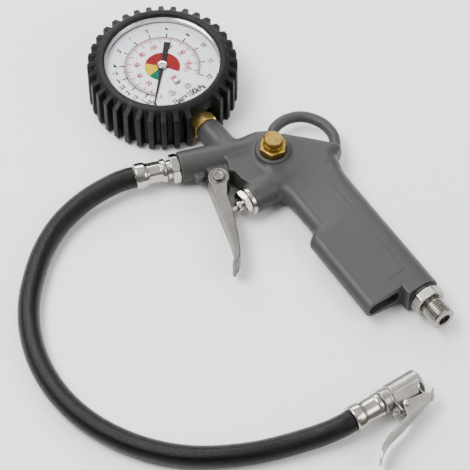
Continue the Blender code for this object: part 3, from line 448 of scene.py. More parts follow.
def mesh_of(name, points, faces, material, sharp=None, normals=None, uv=None):
    """points is (n, 3) in metres. faces is a list of index arrays, each (m, corners)."""
    mesh = bpy.data.meshes.new(name)
    points = np.asarray(points, np.float32)
    faces = [np.asarray(block, np.int32) for block in faces if len(block)]
    loops = np.concatenate([block.ravel() for block in faces])
    sizes = np.concatenate([np.full(len(block), block.shape[1], np.int32) for block in faces])
    mesh.vertices.add(len(points))
    mesh.vertices.foreach_set("co", points.ravel())
    mesh.loops.add(len(loops))
    mesh.loops.foreach_set("vertex_index", loops)
    mesh.polygons.add(len(sizes))
    mesh.polygons.foreach_set("loop_start", np.concatenate(([0], np.cumsum(sizes)[:-1])).astype(np.int32))
    mesh.polygons.foreach_set("loop_total", sizes)
    mesh.update(calc_edges=True)
    mesh.validate()
    mesh.shade_smooth()
    if sharp:
        mesh.set_sharp_from_angle(angle=math.radians(sharp))
    if normals is not None:
        mesh.normals_split_custom_set_from_vertices(normals)
    if uv is not None:
        layer = mesh.uv_layers.new(name="UVMap")
        layer.data.foreach_set("uv", np.asarray(uv, np.float32)[loops].ravel())
    mesh.materials.append(material)
    return placed(name, mesh)


def shell(rows, wrap_rows=False):
    """Faces of a grid whose columns close on themselves, with a cap at each end unless its rows close too."""
    count, columns = rows.shape[:2]
    index = np.arange(count * columns).reshape(count, columns)
    below = index if wrap_rows else index[:-1]
    above = np.roll(index, -1, axis=0) if wrap_rows else index[1:]
    quads = np.stack((below, np.roll(below, -1, axis=1), np.roll(above, -1, axis=1), above), axis=-1).reshape(-1, 4)
    blocks = [quads]
    if not wrap_rows:
        blocks.append(index[0][::-1][None])
        blocks.append(index[-1][None])
    return rows.reshape(-1, 3), blocks


def softened(profile, radius, closed):
    """Rounds each corner of a (radius, axial) profile."""
    points = [np.asarray(point, float) for point in profile]
    made = []
    for index, point in enumerate(points):
        if not closed and index in (0, len(points) - 1):
            made.append(point)
            continue
        before, after = points[index - 1] - point, points[(index + 1) % len(points)] - point
        reach = min(radius, 0.4 * np.linalg.norm(before), 0.4 * np.linalg.norm(after))
        start = point + before / np.linalg.norm(before) * reach
        end = point + after / np.linalg.norm(after) * reach
        for t in (0.0, 0.33, 0.67, 1.0):
            made.append((1 - t) ** 2 * start + 2 * t * (1 - t) * point + t**2 * end)
    return np.array(made)


def spun(name, profile, material, at, closed=False, steps=96, upright=False, soft=0.2, shape=None):
    """A turned piece. at is (plan, z, angle). shape(angle, axial, radius) may change the radius round the piece."""
    profile = softened(profile, soft, closed)
    if not closed:
        ends = [np.array((0.02, profile[0][1])), np.array((0.02, profile[-1][1]))]
        profile = np.vstack((ends[0], profile, ends[1]))
    angles = np.arange(steps) * math.tau / steps
    radius = np.repeat(profile[:, :1], steps, axis=1)
    axial = np.repeat(profile[:, 1:], steps, axis=1)
    if shape is not None:
        radius = shape(np.broadcast_to(angles, radius.shape), axial, radius)
    across, up = radius * np.cos(angles), radius * np.sin(angles)
    rows = np.stack((across, up, axial) if upright else (axial, across, up), axis=-1)
    points, blocks = shell(rows, closed)
    plan, z, angle = at
    made = mesh_of(name, world(points, plan, z, angle), blocks, material)
    outward(made)
    made.data.set_sharp_from_angle(angle=TURNED_EDGE)
    return made


def outward(made):
    shape = bmesh.new()
    shape.from_mesh(made.data)
    bmesh.ops.recalc_face_normals(shape, faces=shape.faces)
    shape.to_mesh(made.data)
    shape.free()


def hexagonal(flats, start, low, high):
    """A radius function for spun: hexagon flats between low and high, with 30 degree chamfers at both ends."""
    def shape(angles, axial, radius):
        within = np.mod(np.degrees(angles) - start, 60.0) - 30.0
        flat = np.minimum(flats / 2 / np.cos(np.radians(within)), flats / math.sqrt(3) * 0.985)
        cut = flats / 2 * CHAMFER + np.minimum(axial - low, high - axial) * math.tan(math.radians(60))
        on_hexagon = (axial >= low - 1e-6) & (axial <= high + 1e-6) & (radius > flats * 0.4)
        return np.where(on_hexagon, np.minimum(flat, cut), radius)
    return shape


def hex_rows(flats, low, high):
    """Profile points over a hexagon, close together where its chamfer runs out."""
    deep = (flats / math.sqrt(3) - flats / 2 * CHAMFER) / math.tan(math.radians(60))
    near = np.linspace(0.0, deep, 7)
    return [(flats / 2, low + step) for step in near] + [(flats / 2, high - step) for step in near[::-1]]


def threaded(low, high, outer, pitch, depth):
    """A radius function for spun: a V thread with run-outs at both ends."""
    def shape(angles, axial, radius):
        phase = np.mod(axial / pitch - angles / math.tau, 1.0)
        ridge = np.clip(1.25 * (1.0 - np.abs(2.0 * phase - 1.0)), 0.0, 1.0)
        fade = np.clip(np.minimum(axial - low, high - axial) / (0.9 * pitch), 0.0, 1.0)
        cut = outer - depth * (1.0 - ridge * fade)
        return np.where((axial >= low) & (axial <= high) & (radius > outer * 0.8), cut, radius)
    return shape


def both(first, second):
    return lambda angles, axial, radius: second(angles, axial, first(angles, axial, radius))


def thread_rows(low, high, radius, pitch):
    return [(radius, x) for x in np.linspace(low, high, int((high - low) / pitch * 12))]


# Solids given by a distance function, for castings and stampings with fillets.

def gap(x, y, start, end):
    """Squared distance to a segment in plan."""
    (ax, ay), (ex, ey) = start, end - start
    share = np.clip(((x - ax) * ex + (y - ay) * ey) / (ex * ex + ey * ey), 0.0, 1.0)
    return (x - ax - ex * share) ** 2 + (y - ay - ey * share) ** 2


def away(x, y, centre):
    return np.hypot(x - centre[0], y - centre[1])


def polygon(points):
    """Signed distance to a polygon in the first two coordinates."""
    points = np.asarray(points, float)

    def distance(x, y):
        best = np.full(np.broadcast(x, y).shape, np.inf)
        sign = np.ones(best.shape)
        for start, end in zip(points, np.roll(points, 1, axis=0)):
            best = np.minimum(best, gap(x, y, start, end))
            above, below = y >= start[1], y < end[1]
            left = (end[0] - start[0]) * (y - start[1]) > (end[1] - start[1]) * (x - start[0])
            sign = np.where((above & below & left) | (~above & ~below & ~left), -sign, sign)
        return sign * np.sqrt(best)
    return distance


def curve(points, count):
    """Distance in plan to a smooth line through these points."""
    points = smoothed([(*point, 0.0) for point in points], count)[:, :2]

    def distance(x, y):
        best = np.full(np.broadcast(x, y).shape, np.inf)
        for start, end in zip(points, points[1:]):
            best = np.minimum(best, gap(x, y, start, end))
        return np.sqrt(best)
    return distance


def meet(first, second, radius):
    """Where two half-spaces overlap, with the edge between them rounded."""
    first, second = first + radius, second + radius
    return np.minimum(np.maximum(first, second), 0.0) + np.hypot(np.maximum(first, 0.0),
                                                                 np.maximum(second, 0.0)) - radius


def slab(flat, z, half, radius):
    return meet(flat, np.abs(z) - half, radius)


def rod(x, y, z, start, angle, length, radius, edge, begin=0.0):
    c, s = turn(angle)
    along = (x - start[0]) * c + (y - start[1]) * s
    beside = (y - start[1]) * c - (x - start[0]) * s
    middle = (length + begin) / 2
    return meet(np.hypot(beside, z) - radius, np.abs(along - middle) - (length - begin) / 2, edge)


def join(first, second, fillet):
    share = np.clip(0.5 + 0.5 * (second - first) / fillet, 0.0, 1.0)
    return second + (first - second) * share - fillet * share * (1.0 - share)


def cut(first, second, fillet=0.35):
    return -join(-first, second, fillet)


def skinned(name, field, low, high, step, material, plan=(0.0, 0.0), z=0.0, angle=0.0):
    """Meshes the zero surface of field(x, y, z), in local millimetres, and moves each point onto it."""
    axes = [np.arange(low[axis], high[axis] + step, step) for axis in range(3)]
    value = field(axes[0][:, None, None], axes[1][None, :, None], axes[2][None, None, :])
    value = np.broadcast_to(value, [len(axis) for axis in axes]).astype(np.float32)
    inside = value < 0
    cells = np.array(value.shape) - 1
    number = np.arange(cells.prod(), dtype=np.int64).reshape(cells)
    total = np.zeros((cells.prod(), 3), np.float32)
    count = np.zeros(cells.prod(), np.float32)
    quads = []
    for axis in range(3):
        ahead = [slice(None)] * 3
        behind = [slice(None)] * 3
        ahead[axis], behind[axis] = slice(1, None), slice(None, -1)
        crossing = inside[tuple(ahead)] != inside[tuple(behind)]
        one, two = [other for other in range(3) if other != axis]
        for other in (one, two):
            edge = [slice(None)] * 3
            edge[other] = [0, -1]
            crossing[tuple(edge)] = False
        where = np.argwhere(crossing)
        start = value[tuple(where.T)]
        shifted = where.copy()
        shifted[:, axis] += 1
        end = value[tuple(shifted.T)]
        place = where.astype(np.float32)
        place[:, axis] += start / (start - end)
        around = []
        for back_one, back_two in ((1, 1), (0, 1), (0, 0), (1, 0)):
            cell = where.copy()
            cell[:, one] -= back_one
            cell[:, two] -= back_two
            flat = number[tuple(cell.T)]
            np.add.at(total, flat, place)
            np.add.at(count, flat, 1.0)
            around.append(flat)
        block = np.stack(around, axis=1)
        flip = (start > 0) if axis != 1 else (start < 0)
        block[flip] = block[flip][:, ::-1]
        quads.append(block)
    used = np.flatnonzero(count)
    renumber = np.full(len(count), -1, np.int64)
    renumber[used] = np.arange(len(used))
    points = (total[used] / count[used, None]).astype(float) * step + np.array([axis[0] for axis in axes])
    for _ in range(3):
        here, slope = reading(field, points)
        move = -here[:, None] * slope / np.maximum((slope**2).sum(axis=1, keepdims=True), 0.25)
        points += np.clip(move, -0.5 * step, 0.5 * step)
    _, slope = reading(field, points)
    slope /= np.linalg.norm(slope, axis=1, keepdims=True) + 1e-9
    c, s = turn(angle)
    normals = np.stack((slope[:, 0] * c - slope[:, 1] * s, slope[:, 0] * s + slope[:, 1] * c, slope[:, 2]), axis=1)
    faces = renumber[np.concatenate(quads)]
    return mesh_of(name, world(points, plan, z, angle), [faces], material, normals=normals)


def reading(field, points, reach=0.04):
    x, y, z = points.T
    slope = np.stack((
        field(x + reach, y, z) - field(x - reach, y, z),
        field(x, y + reach, z) - field(x, y - reach, z),
        field(x, y, z + reach) - field(x, y, z - reach),
    ), axis=1) / (2 * reach)
    return field(x, y, z), slope


def fitted(made, body, node):
    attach(made, body)
    if node:
        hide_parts(node)
    return made


# The hose.

def make_hose(material):
    path = smoothed(HOSE_ROUTE, 320)
    along = np.gradient(path, axis=0)
    along /= np.linalg.norm(along, axis=1, keepdims=True)
    side = np.cross(along, (0.0, 0.0, 1.0))
    side /= np.linalg.norm(side, axis=1, keepdims=True)
    over = np.cross(side, along)
    sides = 48
    angles = np.arange(sides) * math.tau / sides
    distance = np.concatenate(([0.0], np.cumsum(np.linalg.norm(np.diff(path, axis=0), axis=1))))
    rows = path[:, None] + HOSE_R * (side[:, None] * np.cos(angles)[:, None] + over[:, None] * np.sin(angles)[:, None])
    points, blocks = shell(rows)
    around = np.abs(np.arange(sides) / sides * 2 - 1) * math.pi * HOSE_R * MM
    uv = np.stack(np.broadcast_arrays(distance[:, None] * MM, around[None]), axis=-1).reshape(-1, 2)
    made = mesh_of("air_hose_cover", world(points), blocks, material, sharp=50, uv=uv)
    outward(made)
    fitted(made, "gun", "air_hose")
    return made, world(path), distance[-1] * MM


# The gun.

BODY_OUTLINE = (
    (33.0, 5.2), (34.0, -6.0), (44.0, -22.0), (49.6, -33.5), (70.0, -46.0), (84.4, -25.0), (84.3, -19.0), (88.8, -14.4),
    (89.4, -11.9), (84.6, -9.4), (79.0, -6.5), (70.0, -1.8), (62.0, 2.2), (54.0, 6.0), (46.0, 8.2), (40.0, 7.6),
)
WEB_OUTLINE = ((25.2, -5.0), (25.2, -14.0), (27.6, -15.6), (29.8, -21.0), (34.0, -27.0), (50.0, -30.0), (50.0, -2.0))
LUG_OUTLINE = ((12.9, -5.0), (14.3, -12.0), (14.3, -16.3), (22.3, -16.3), (24.5, -13.6), (26.0, -5.0))
LOOP_ROUTE = (
    (54.5, 5.0), (57.0, 11.0), (61.8, 15.0), (68.0, 16.9), (74.8, 16.4), (81.2, 12.7), (86.0, 6.8), (88.3, -0.8),
    (87.4, -8.0), (86.0, -12.5),
)


def grip_place(x, y):
    c, s = turn(GRIP_ANGLE)
    dx, dy = x - GRIP_TOP[0], y - GRIP_TOP[1]
    return dx * c + dy * s, dy * c - dx * s


def smooth_step(value):
    value = np.clip(value, 0.0, 1.0)
    return value * value * (3.0 - 2.0 * value)


def grip_width(down):
    return 36.0 + 6.1 * smooth_step((down - 29.5) / 7.0)


def softly(function, low, high, step):
    """The plan distance read through a cubic B-spline, which rounds its corners and its inner creases."""
    values = function(np.arange(low[0], high[0], step)[:, None], np.arange(low[1], high[1], step)[None, :])

    def taps(place, start, count):
        whole = np.floor((place - start) / step).astype(int)
        part = (place - start) / step - whole
        weights = ((1 - part) ** 3, 3 * part**3 - 6 * part**2 + 4, -3 * part**3 + 3 * part**2 + 3 * part + 1, part**3)
        return [(np.clip(whole + tap - 1, 0, count - 1), weight / 6) for tap, weight in enumerate(weights)]

    def distance(x, y):
        across, along = taps(x, low[0], values.shape[0]), taps(y, low[1], values.shape[1])
        return sum(one * two * values[i, j] for i, one in across for j, two in along)
    return distance


def outline(x, y):
    """The body and the grip in plan."""
    down, lateral = grip_place(x, y)
    wide = grip_width(down)
    grip = meet(np.abs(down - 53.5) - 55.5, np.abs(lateral + wide / 2) - wide / 2, 0.5)
    return join(polygon(BODY_OUTLINE)(x, y), grip, 5.0)


SOFT_OUTLINE = softly(outline, (-10.0, -140.0), (130.0, 40.0), 1.3)


def plate(x, y, z):
    """The body and the grip as one plate. The grip is round and thick along its rear and thinner at its front."""
    down, lateral = grip_place(x, y)
    wide = grip_width(down)
    flat = SOFT_OUTLINE(x, y)
    share = smooth_step((down + 22.0) / 44.0)
    taper = np.clip((-9.9 - lateral) / (wide - 15.7), 0.0, 1.0)
    half = 9.0 - 5.0 * smooth_step((47.0 - x) / 15.0) + share * (0.9 - 4.1 * taper)
    edge = 4.4 + share * (5.4 - 4.0 * taper)
    shape = meet(flat, np.abs(z) - half, np.minimum(edge, half - 0.05))
    return cut(meet(shape, down - 95.0, 0.6), np.maximum(89.0 - down, lateral + 19.6), 0.9)


def casting(x, y, z):
    shape = rod(x, y, z, (0.0, 0.0), 0.0, 52.0, 8.75, 0.5)
    shape = join(shape, plate(x, y, z), 3.5)
    shape = join(shape, rod(x, y, z, STEM_FOOT, STEM_ANGLE + 180.0, SOCKET_LENGTH, 7.6, 0.5), 2.2)
    shape = join(shape, slab(polygon(WEB_OUTLINE)(x, y), z, 7.2, 0.8), 2.0)
    lug = np.minimum(polygon(LUG_OUTLINE)(x, y), away(x, y, TRIGGER_AT) - 4.0)
    shape = join(shape, slab(lug, z, 4.2, 0.5), 1.0)
    shape = join(shape, slab(np.hypot(x - 9.4, y + 9.4) - 3.2, z, 2.6, 1.0), 1.0)
    shape = join(shape, np.hypot(curve(LOOP_ROUTE, 40)(x, y), z) - 3.2, 1.6)
    shape = join(shape, rod(x, y, z, VALVE_END, VALVE_ANGLE, 26.0, 8.2, 0.5), 2.2)
    down, lateral = grip_place(x, y)
    boss_start = walk(GRIP_TOP, GRIP_ANGLE - 90.0, 9.9)
    bleed = away(x, y, BLEED_AT)
    shape = join(shape, meet(bleed - 9.3, np.abs(z - 4.25) - 6.25, 0.5), 2.2)
    depth = 0.3 * np.clip((lateral + 33.0) / 20.0, 0.0, 1.0) * np.clip((down - 3.0) / 12.0, 0.0, 1.0)
    shape = shape - depth * np.clip((-12.6 - lateral) / 0.5, 0.0, 1.0) * np.clip((81.6 - down) / 0.5, 0.0, 1.0)
    shape = cut(shape, rod(x, y, z, (-2.0, 0.0), 0.0, 13.0, 5.0, 0.0))
    shape = cut(shape, rod(x, y, z, walk(STEM_FOOT, STEM_ANGLE + 180.0, 11.8), STEM_ANGLE + 180.0, 13.0, 5.16, 0.0))
    shape = cut(shape, rod(x, y, z, walk(VALVE_END, VALVE_ANGLE, -2.0), VALVE_ANGLE, 26.0, 5.9, 0.0))
    shape = cut(shape, rod(x, y, z, boss_start, GRIP_ANGLE, 98.0, 6.18, 0.0, 82.0))
    hollow = np.hypot(np.maximum(np.abs(lateral + 30.3) - 6.0, 0.0), z) - 3.8
    shape = cut(shape, meet(hollow, np.abs(down - 66.0) - 30.0, 1.0), 0.6)
    shape = cut(shape, meet(bleed - 7.2, np.abs(z - 8.0) - 3.6, 0.0))
    return cut(shape, meet(away(x, y, TRIGGER_AT) - 2.0, np.abs(z) - 9.0, 0.0), 0.2)


def trigger(x, y, z):
    front = ((13.3, -38.0), (14.3, -52.0), (14.3, -62.0), (13.4, -67.6), (10.6, -73.6))
    back = ((11.8, -75.0), (14.8, -71.6), (16.8, -67.4), (18.3, -58.5), (20.0, -41.0), (20.0, -28.6), (21.5, -23.0))
    head = away(x, y, TRIGGER_AT)
    flat = join(polygon((*front, *back, (23.0, -16.3), (12.3, -16.3)))(x, y), head - 6.0, 0.4)
    shape = slab(flat, z, 6.5, 0.7)
    shape = cut(shape, meet(np.abs(head - 4.5) - 0.35, 6.2 - np.abs(z), 0.1), 0.2)
    inside = polygon(((7.0, -16.3), (13.7, -16.3), (14.7, -38.0), (15.7, -52.0), (15.4, -63.0), (27.0, -62.0),
                      (27.0, -7.0), (7.0, -7.0)))(x, y)
    shape = cut(shape, slab(inside, z, 5.1, 0.6), 0.3)
    return cut(shape, head - 2.0, 0.2)


def lathe_field(profile):
    half = [(axial, radius) for radius, axial in profile]
    mirrored = [(axial, -radius) for axial, radius in reversed(half)]
    return polygon(half + mirrored)


def chuck(x, y, z):
    radius = np.hypot(y, z)
    profile = ((3.0, -38.0), (3.0, -24.5), (6.1, -24.5), (6.7, -23.9), (6.7, -20.6), (6.3, -20.0), (6.3, -18.9),
               (7.2, -18.3), (7.2, -1.1), (6.3, 0.0))
    shape = lathe_field(profile)(x, radius)
    shape = cut(shape, meet(np.abs(x + 15.6) - 0.12, 7.05 - radius, 0.0), 0.1)
    shape = join(shape, slab(np.maximum(np.abs(x + 14.5) - 3.9, np.abs(y + 8.0) - 3.0), z, 2.3, 0.4), 0.9)
    ear = np.maximum(np.abs(x + 19.8) - 2.5, np.abs(y + 9.1) - 1.75)
    shape = join(shape, meet(ear, np.abs(z + 1.8) - 0.5, 0.2), 0.3)
    post = meet(away(x, y, SPRING_AT) - 0.8, np.abs(z - 0.25) - 2.25, 0.2)
    shape = join(shape, post, 0.2)
    shape = cut(shape, meet(radius - 4.4, np.abs(x + 2.5) - 3.5, 0.0), 0.3)
    shape = cut(shape, meet(radius - 5.2, np.abs(x + 9.75) - 4.75, 0.0), 0.2)
    for side in (-1.0, 1.0):
        lean = (side * z - y) * math.sqrt(0.5)
        shape = cut(shape, meet(6.3 - lean, np.abs(x + 9.6) - 7.9, 0.0), 0.15)
    slot = np.maximum(np.maximum(np.abs(x + 3.2) - 1.0, np.abs(y + 6.0) - 3.0), np.abs(z) - 5.0)
    shape = cut(shape, slot, 0.25)
    return cut(shape, meet(away(x, y, LEVER_AT) - 1.35, np.abs(z) - 4.0, 0.0), 0.15)


CLIP_HANDLE = (
    (0.6, -10.9), (-6.0, -12.8), (-15.0, -15.1), (-22.5, -17.6), (-28.0, -19.0), (-33.5, -20.4), (-38.0, -22.6),
    (-41.5, -25.2), (-44.2, -28.0),
)


def clip_lever(x, y, z):
    wide = 5.3 - 1.2 * smooth_step((-41.5 - x) / 4.0) - 1.3 * smooth_step((x + 10.0) / 8.0)
    shape = meet(curve(CLIP_HANDLE, 24)(x, y) - 0.6, np.abs(z) - wide, 0.3)
    cheek = polygon(((-18.6, -16.4), (-16.2, -8.6), (-14.6, -6.9), (-12.4, -7.4), (-9.0, -8.2), (-6.2, -8.4),
                     (-3.7, -8.9), (0.6, -10.9), (-6.0, -12.8), (-15.0, -15.1)))(x, y)
    shape = join(shape, meet(cheek, np.abs(np.abs(z) - 3.1) - 0.6, 0.25), 0.15)
    claw = polygon(((-3.9, -12.0), (-3.1, -11.8), (-3.1, -4.7), (-3.9, -4.7)))(x, y)
    shape = join(shape, slab(claw, z, 3.4, 0.15), 0.3)
    nose = polygon(((-1.0, -11.6), (-0.3, -12.6), (0.8, -12.9), (1.0, -11.0), (3.2, -9.2), (2.8, -8.4)))(x, y)
    shape = join(shape, slab(nose, z, 3.0, 0.2), 0.4)
    return cut(shape, away(x, y, LEVER_AT) - 1.35, 0.15)


def coiled(name, radius, wire, low, high, turns, material, at, upright=False):
    """A helical spring between low and high along its axis. at is (plan, z, angle), as for spun."""
    steps = np.linspace(0.0, 1.0, int(turns * 36))
    angles = steps * turns * math.tau
    radial = np.stack((np.cos(angles), np.sin(angles), np.zeros_like(angles)), axis=1)
    rise = (high - low - 2 * wire) / (turns * math.tau * radius)
    along = np.stack((-np.sin(angles), np.cos(angles), np.full_like(angles, rise)), axis=1)
    over = np.cross(along / math.hypot(1.0, rise), radial)
    centre = radial * radius + np.outer(low + wire + steps * (high - low - 2 * wire), (0.0, 0.0, 1.0))
    round_wire = np.arange(12) * math.tau / 12
    ring = radial[:, None] * np.cos(round_wire)[:, None] + over[:, None] * np.sin(round_wire)[:, None]
    rows = centre[:, None] + wire * ring
    points, blocks = shell(rows if upright else rows[..., (2, 0, 1)])
    plan, z, angle = at
    made = mesh_of(name, world(points, plan, z, angle), blocks, material, sharp=50)
    outward(made)
    return made


def make_springs(look):
    """The two springs that shorten as their valves open."""
    ends = (14.6, 25.6)
    spring = coiled("valve_spring_wound", 2.9, 0.38, *ends, 5.5, look["steel"], (VALVE_END, MID, VALVE_ANGLE))
    fitted(spring, "gun", "valve_spring")
    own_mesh(spring)
    ends = (5.4, 13.6)
    spring = coiled("bleed_spring_wound", 2.6, 0.38, *ends, 4.5, look["steel"], (BLEED_AT, 0.0, 0.0), upright=True)
    fitted(spring, "gun", "bleed_spring")
    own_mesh(spring)


def make_gun(look):
    """The painted casting and what is fixed in it."""
    made = skinned("casting_skin", casting, (-2.0, -124.0, -11.5), (114.0, 25.0, 12.5), 0.58, look["paint"], z=MID)
    fitted(made, "gun", "body_casting")
    made = skinned("trigger_skin", trigger, (4.0, -78.0, -8.0), (27.0, -8.0, 8.0), 0.28, look["lever"], z=MID)
    fitted(made, "trigger", "trigger_lever")
    pin = [(1.88, -8.3), (1.88, 6.8), (3.3, 6.8), (3.3, 7.4), (2.9, 7.75), (2.2, 7.8), (1.7, 7.55), (0.5, 7.5)]
    fitted(spun("pivot_pin_turned", pin, look["lever"], (TRIGGER_AT, MID, 0.0), upright=True, steps=64), "gun",
           "trigger_pivot_pin")

    at = (VALVE_END, MID, VALVE_ANGLE + 180.0)
    nut = [(1.5, 9.2), (2.7, 9.2), (3.0, 8.8), (3.0, 6.5), *hex_rows(13.6, 2.8, 6.4)[::-1], (7.2, 2.75), (8.0, 2.3),
           (8.0, 0.35), (5.6, 0.3), (5.6, -5.0), (2.9, -5.0), (2.9, -1.7), (1.5, -1.7)]
    made = spun("valve_nut_turned", nut, look["nickel"], at, closed=True, soft=0.12, steps=144,
                shape=hexagonal(13.6, 12.0, 2.8, 6.4))
    fitted(made, "gun", "valve_gland_nut")
    stem = [(0.7, -17.9), (1.0, -17.6), (1.0, 12.6), (3.9, 12.6), (3.9, 14.2), (1.7, 14.2), (1.7, 16.4)]
    fitted(spun("valve_stem_turned", stem, look["nickel"], (VALVE_END, MID, VALVE_ANGLE), steps=40, soft=0.08),
           "valve_stem", "valve_stem")

    at = (BLEED_AT, 0.0, 0.0)
    nut = [(5.55, 25.0), *hex_rows(14.0, 20.8, 25.0)[::-1], (6.9, 20.75), (6.9, 17.8), (5.55, 17.8)]
    made = spun("bleed_nut_turned", nut, look["zinc"], at, closed=True, upright=True, soft=0.12, steps=144,
                shape=hexagonal(14.0, 8.0, 20.8, 25.0))
    fitted(made, "gun", "bleed_gland_nut")
    button = [(1.5, 8.0), (1.5, 14.0), (3.0, 14.0), (5.25, 18.2), (5.25, 25.3), (4.85, 25.7), (4.85, 26.5),
              (5.25, 26.9), (5.25, 29.9), (4.7, 30.5)]
    fitted(spun("bleed_button_turned", button, look["zinc"], at, upright=True, soft=0.3), "bleed_button",
           "bleed_button")

    at = (walk(walk(GRIP_TOP, GRIP_ANGLE, 95.0), GRIP_ANGLE - 90.0, 9.9), MID, GRIP_ANGLE)
    nipple = [(5.8, -12.0), (5.8, 1.3), *hex_rows(16.5, 1.6, 7.6), (5.75, 7.65), (5.75, 8.4),
              *thread_rows(8.5, 19.2, 6.58, 1.337), (5.6, 19.6), (3.6, 19.6), (3.5, 15.0), (3.2, 14.6), (3.2, -12.0)]
    made = spun("inlet_nipple_turned", nipple, look["coupling"], at, closed=True, soft=0.05, steps=144,
                shape=both(hexagonal(16.5, 12.5, 1.6, 7.6), threaded(8.5, 19.2, 6.58, 1.337, 0.8)))
    fitted(made, "gun", "inlet_nipple")

    at = ((0.0, 0.0), MID, 0.0)
    fitting = [(2.0, -20.0), (3.0, -20.0), (3.0, -7.2), (5.4, -7.2), (5.4, -5.05), *hex_rows(15.0, -5.0, -0.3),
               (4.7, -0.25), (4.7, 10.0), (2.0, 10.0)]
    made = spun("hose_hex_turned", fitting, look["nickel"], at, closed=True, soft=0.1, steps=144,
                shape=hexagonal(15.0, 20.0, -5.0, -0.3))
    fitted(made, "gun", "hose_hex_fitting")


def crimp(depth):
    """Eight flats pressed into the waist of a ferrule."""
    def shape(angles, axial, radius):
        inside = np.clip(np.minimum(axial - 7.0, 15.0 - axial) / 0.7, 0.0, 1.0)
        return np.where(radius > 5.0, radius + depth * inside * (np.abs(np.cos(4.0 * angles)) ** 3 - 0.5), radius)
    return shape


def make_ferrule(name, node, at, look, waist, depth):
    rows = [(waist, x) for x in np.linspace(7.9, 14.5, 10)]
    profile = [(3.3, 0.0), (6.9, 0.0), (7.25, 0.6), (7.3, 3.0), (7.2, 5.2), (6.8, 6.2), (waist + 0.2, 7.0), *rows,
               (6.7, 15.2), (6.75, 16.9), (6.3, 17.6), (3.3, 17.6)]
    return fitted(spun(name, profile, look["nickel"], at, closed=True, soft=0.25, shape=crimp(depth)), "gun", node)


def make_chuck(look):
    at = {"plan": CHUCK_MOUTH, "z": CHUCK_Z, "angle": CHUCK_ANGLE}
    body = skinned("chuck_skin", chuck, (-39.0, -12.5, -9.0), (1.5, 8.5, 9.0), 0.25, look["satin"], **at)
    fitted(body, "gun", "chuck_body")
    lever = skinned("clip_lever_skin", clip_lever, (-48.5, -31.0, -5.7), (5.5, -3.5, 5.7), 0.22, look["satin"], **at)
    fitted(lever, "clip_lever", "chuck_clip_lever")
    pin_at = walk(walk(CHUCK_MOUTH, CHUCK_ANGLE, LEVER_AT[0]), CHUCK_ANGLE + 90.0, LEVER_AT[1])
    pin = spun("lever_pin_turned", [(1.25, -4.7), (1.25, 4.2), (1.55, 4.25), (1.55, 4.45), (1.2, 4.7)], look["steel"],
               (pin_at, CHUCK_Z, 0.0), upright=True, steps=48, soft=0.1)
    fitted(pin, "gun", "chuck_lever_pin")
    return [body, lever, pin]


# The gauge.

def make_boot(look):
    """A rubber boot like a tyre: lugs run across its side and are chamfered towards both faces."""
    lugs = ((-2.25, 0.0), (-2.0, 0.05), (-1.85, 0.2), (-1.62, 0.5), (-1.42, 0.85), (-1.3, 0.96), (-1.1, 1.0),
            (0.0, 1.0))
    lugs = lugs + tuple((-offset, height) for offset, height in lugs[-2::-1])
    angles, heights = [], []
    for number in range(LUG_COUNT):
        low = 0.0 if number in (0, 1) else 1.0
        for offset, height in ((-3.3, 0.0), *lugs):
            angles.append(math.radians(STEM_ANGLE + 360.0 / LUG_COUNT * (number - LUG_SHIFT)) + offset / LUG_RADIUS)
            heights.append(height * low)
    angles, heights = np.array(angles), np.array(heights)
    profile = [
        (27.0, 0.0, 0), (30.0, 0.0, 0), (35.0, 0.0, 0), (36.8, 0.12, 0), (37.5, 0.5, 0.05), (37.8, 0.9, 0.5),
        (37.8, 1.3, 0.85), (37.8, 1.8, 0.97), (37.8, 2.4, 1), (37.8, 8.0, 1), (37.8, 14.0, 1), (37.8, 20.0, 1),
        (37.8, 25.6, 1), (37.8, 26.1, 0.99), (37.8, 26.5, 0.94), (37.75, 27.2, 0.67), (37.55, 28.1, 0.34),
        (37.3, 28.8, 0.12), (36.9, 29.3, 0.02), (36.4, 29.8, 0), (35.6, 30.2, 0), (34.8, 30.4, 0), (34.0, 30.45, 0),
        (33.3, 30.35, 0), (32.8, 30.05, 0), (32.5, 29.6, 0), (32.4, 29.1, 0), (32.45, 28.4, 0), (34.3, 28.2, 0),
        (34.3, 15.0, 0), (34.3, 1.3, 0), (27.0, 1.3, 0),
    ]
    profile = np.array(profile)
    radius = profile[:, :1] + LUG_HEIGHT * profile[:, 2:] * heights
    height = np.repeat(profile[:, 1:2], len(angles), 1)
    rows = np.stack((radius * np.cos(angles), radius * np.sin(angles), height), axis=-1)
    points, blocks = shell(rows, True)
    made = mesh_of("boot_skin", world(points, GAUGE_AT), blocks, look["boot"])
    outward(made)
    hole = bmesh.new()
    bmesh.ops.create_cube(hole, size=1.0)
    bmesh.ops.scale(hole, vec=(0.026, 0.019, 0.0215), verts=hole.verts)
    edges = [edge for edge in hole.edges if abs(edge.verts[0].co.x - edge.verts[1].co.x) > 0.01]
    bmesh.ops.bevel(hole, geom=edges, offset=0.0018, segments=3, profile=0.5, affect="EDGES")
    centre = world((33.0, 0.0, 9.75), GAUGE_AT, 0.0, STEM_ANGLE)
    turned_to = Matrix.Translation(centre) @ Matrix.Rotation(math.radians(STEM_ANGLE), 4, "Z")
    bmesh.ops.transform(hole, matrix=turned_to, verts=hole.verts)
    bmesh.ops.recalc_face_normals(hole, faces=hole.faces)
    cutter = from_bmesh("notch", hole)
    modifier = made.modifiers.new("notch", "BOOLEAN")
    modifier.operation, modifier.solver, modifier.object = "DIFFERENCE", "EXACT", cutter
    baked = bpy.data.meshes.new_from_object(made.evaluated_get(bpy.context.evaluated_depsgraph_get()))
    made.modifiers.clear()
    made.data = baked
    bpy.data.objects.remove(cutter)
    made.data.shade_smooth()
    made.data.set_sharp_from_angle(angle=math.radians(26))
    fitted(made, "gun", "gauge_boot")


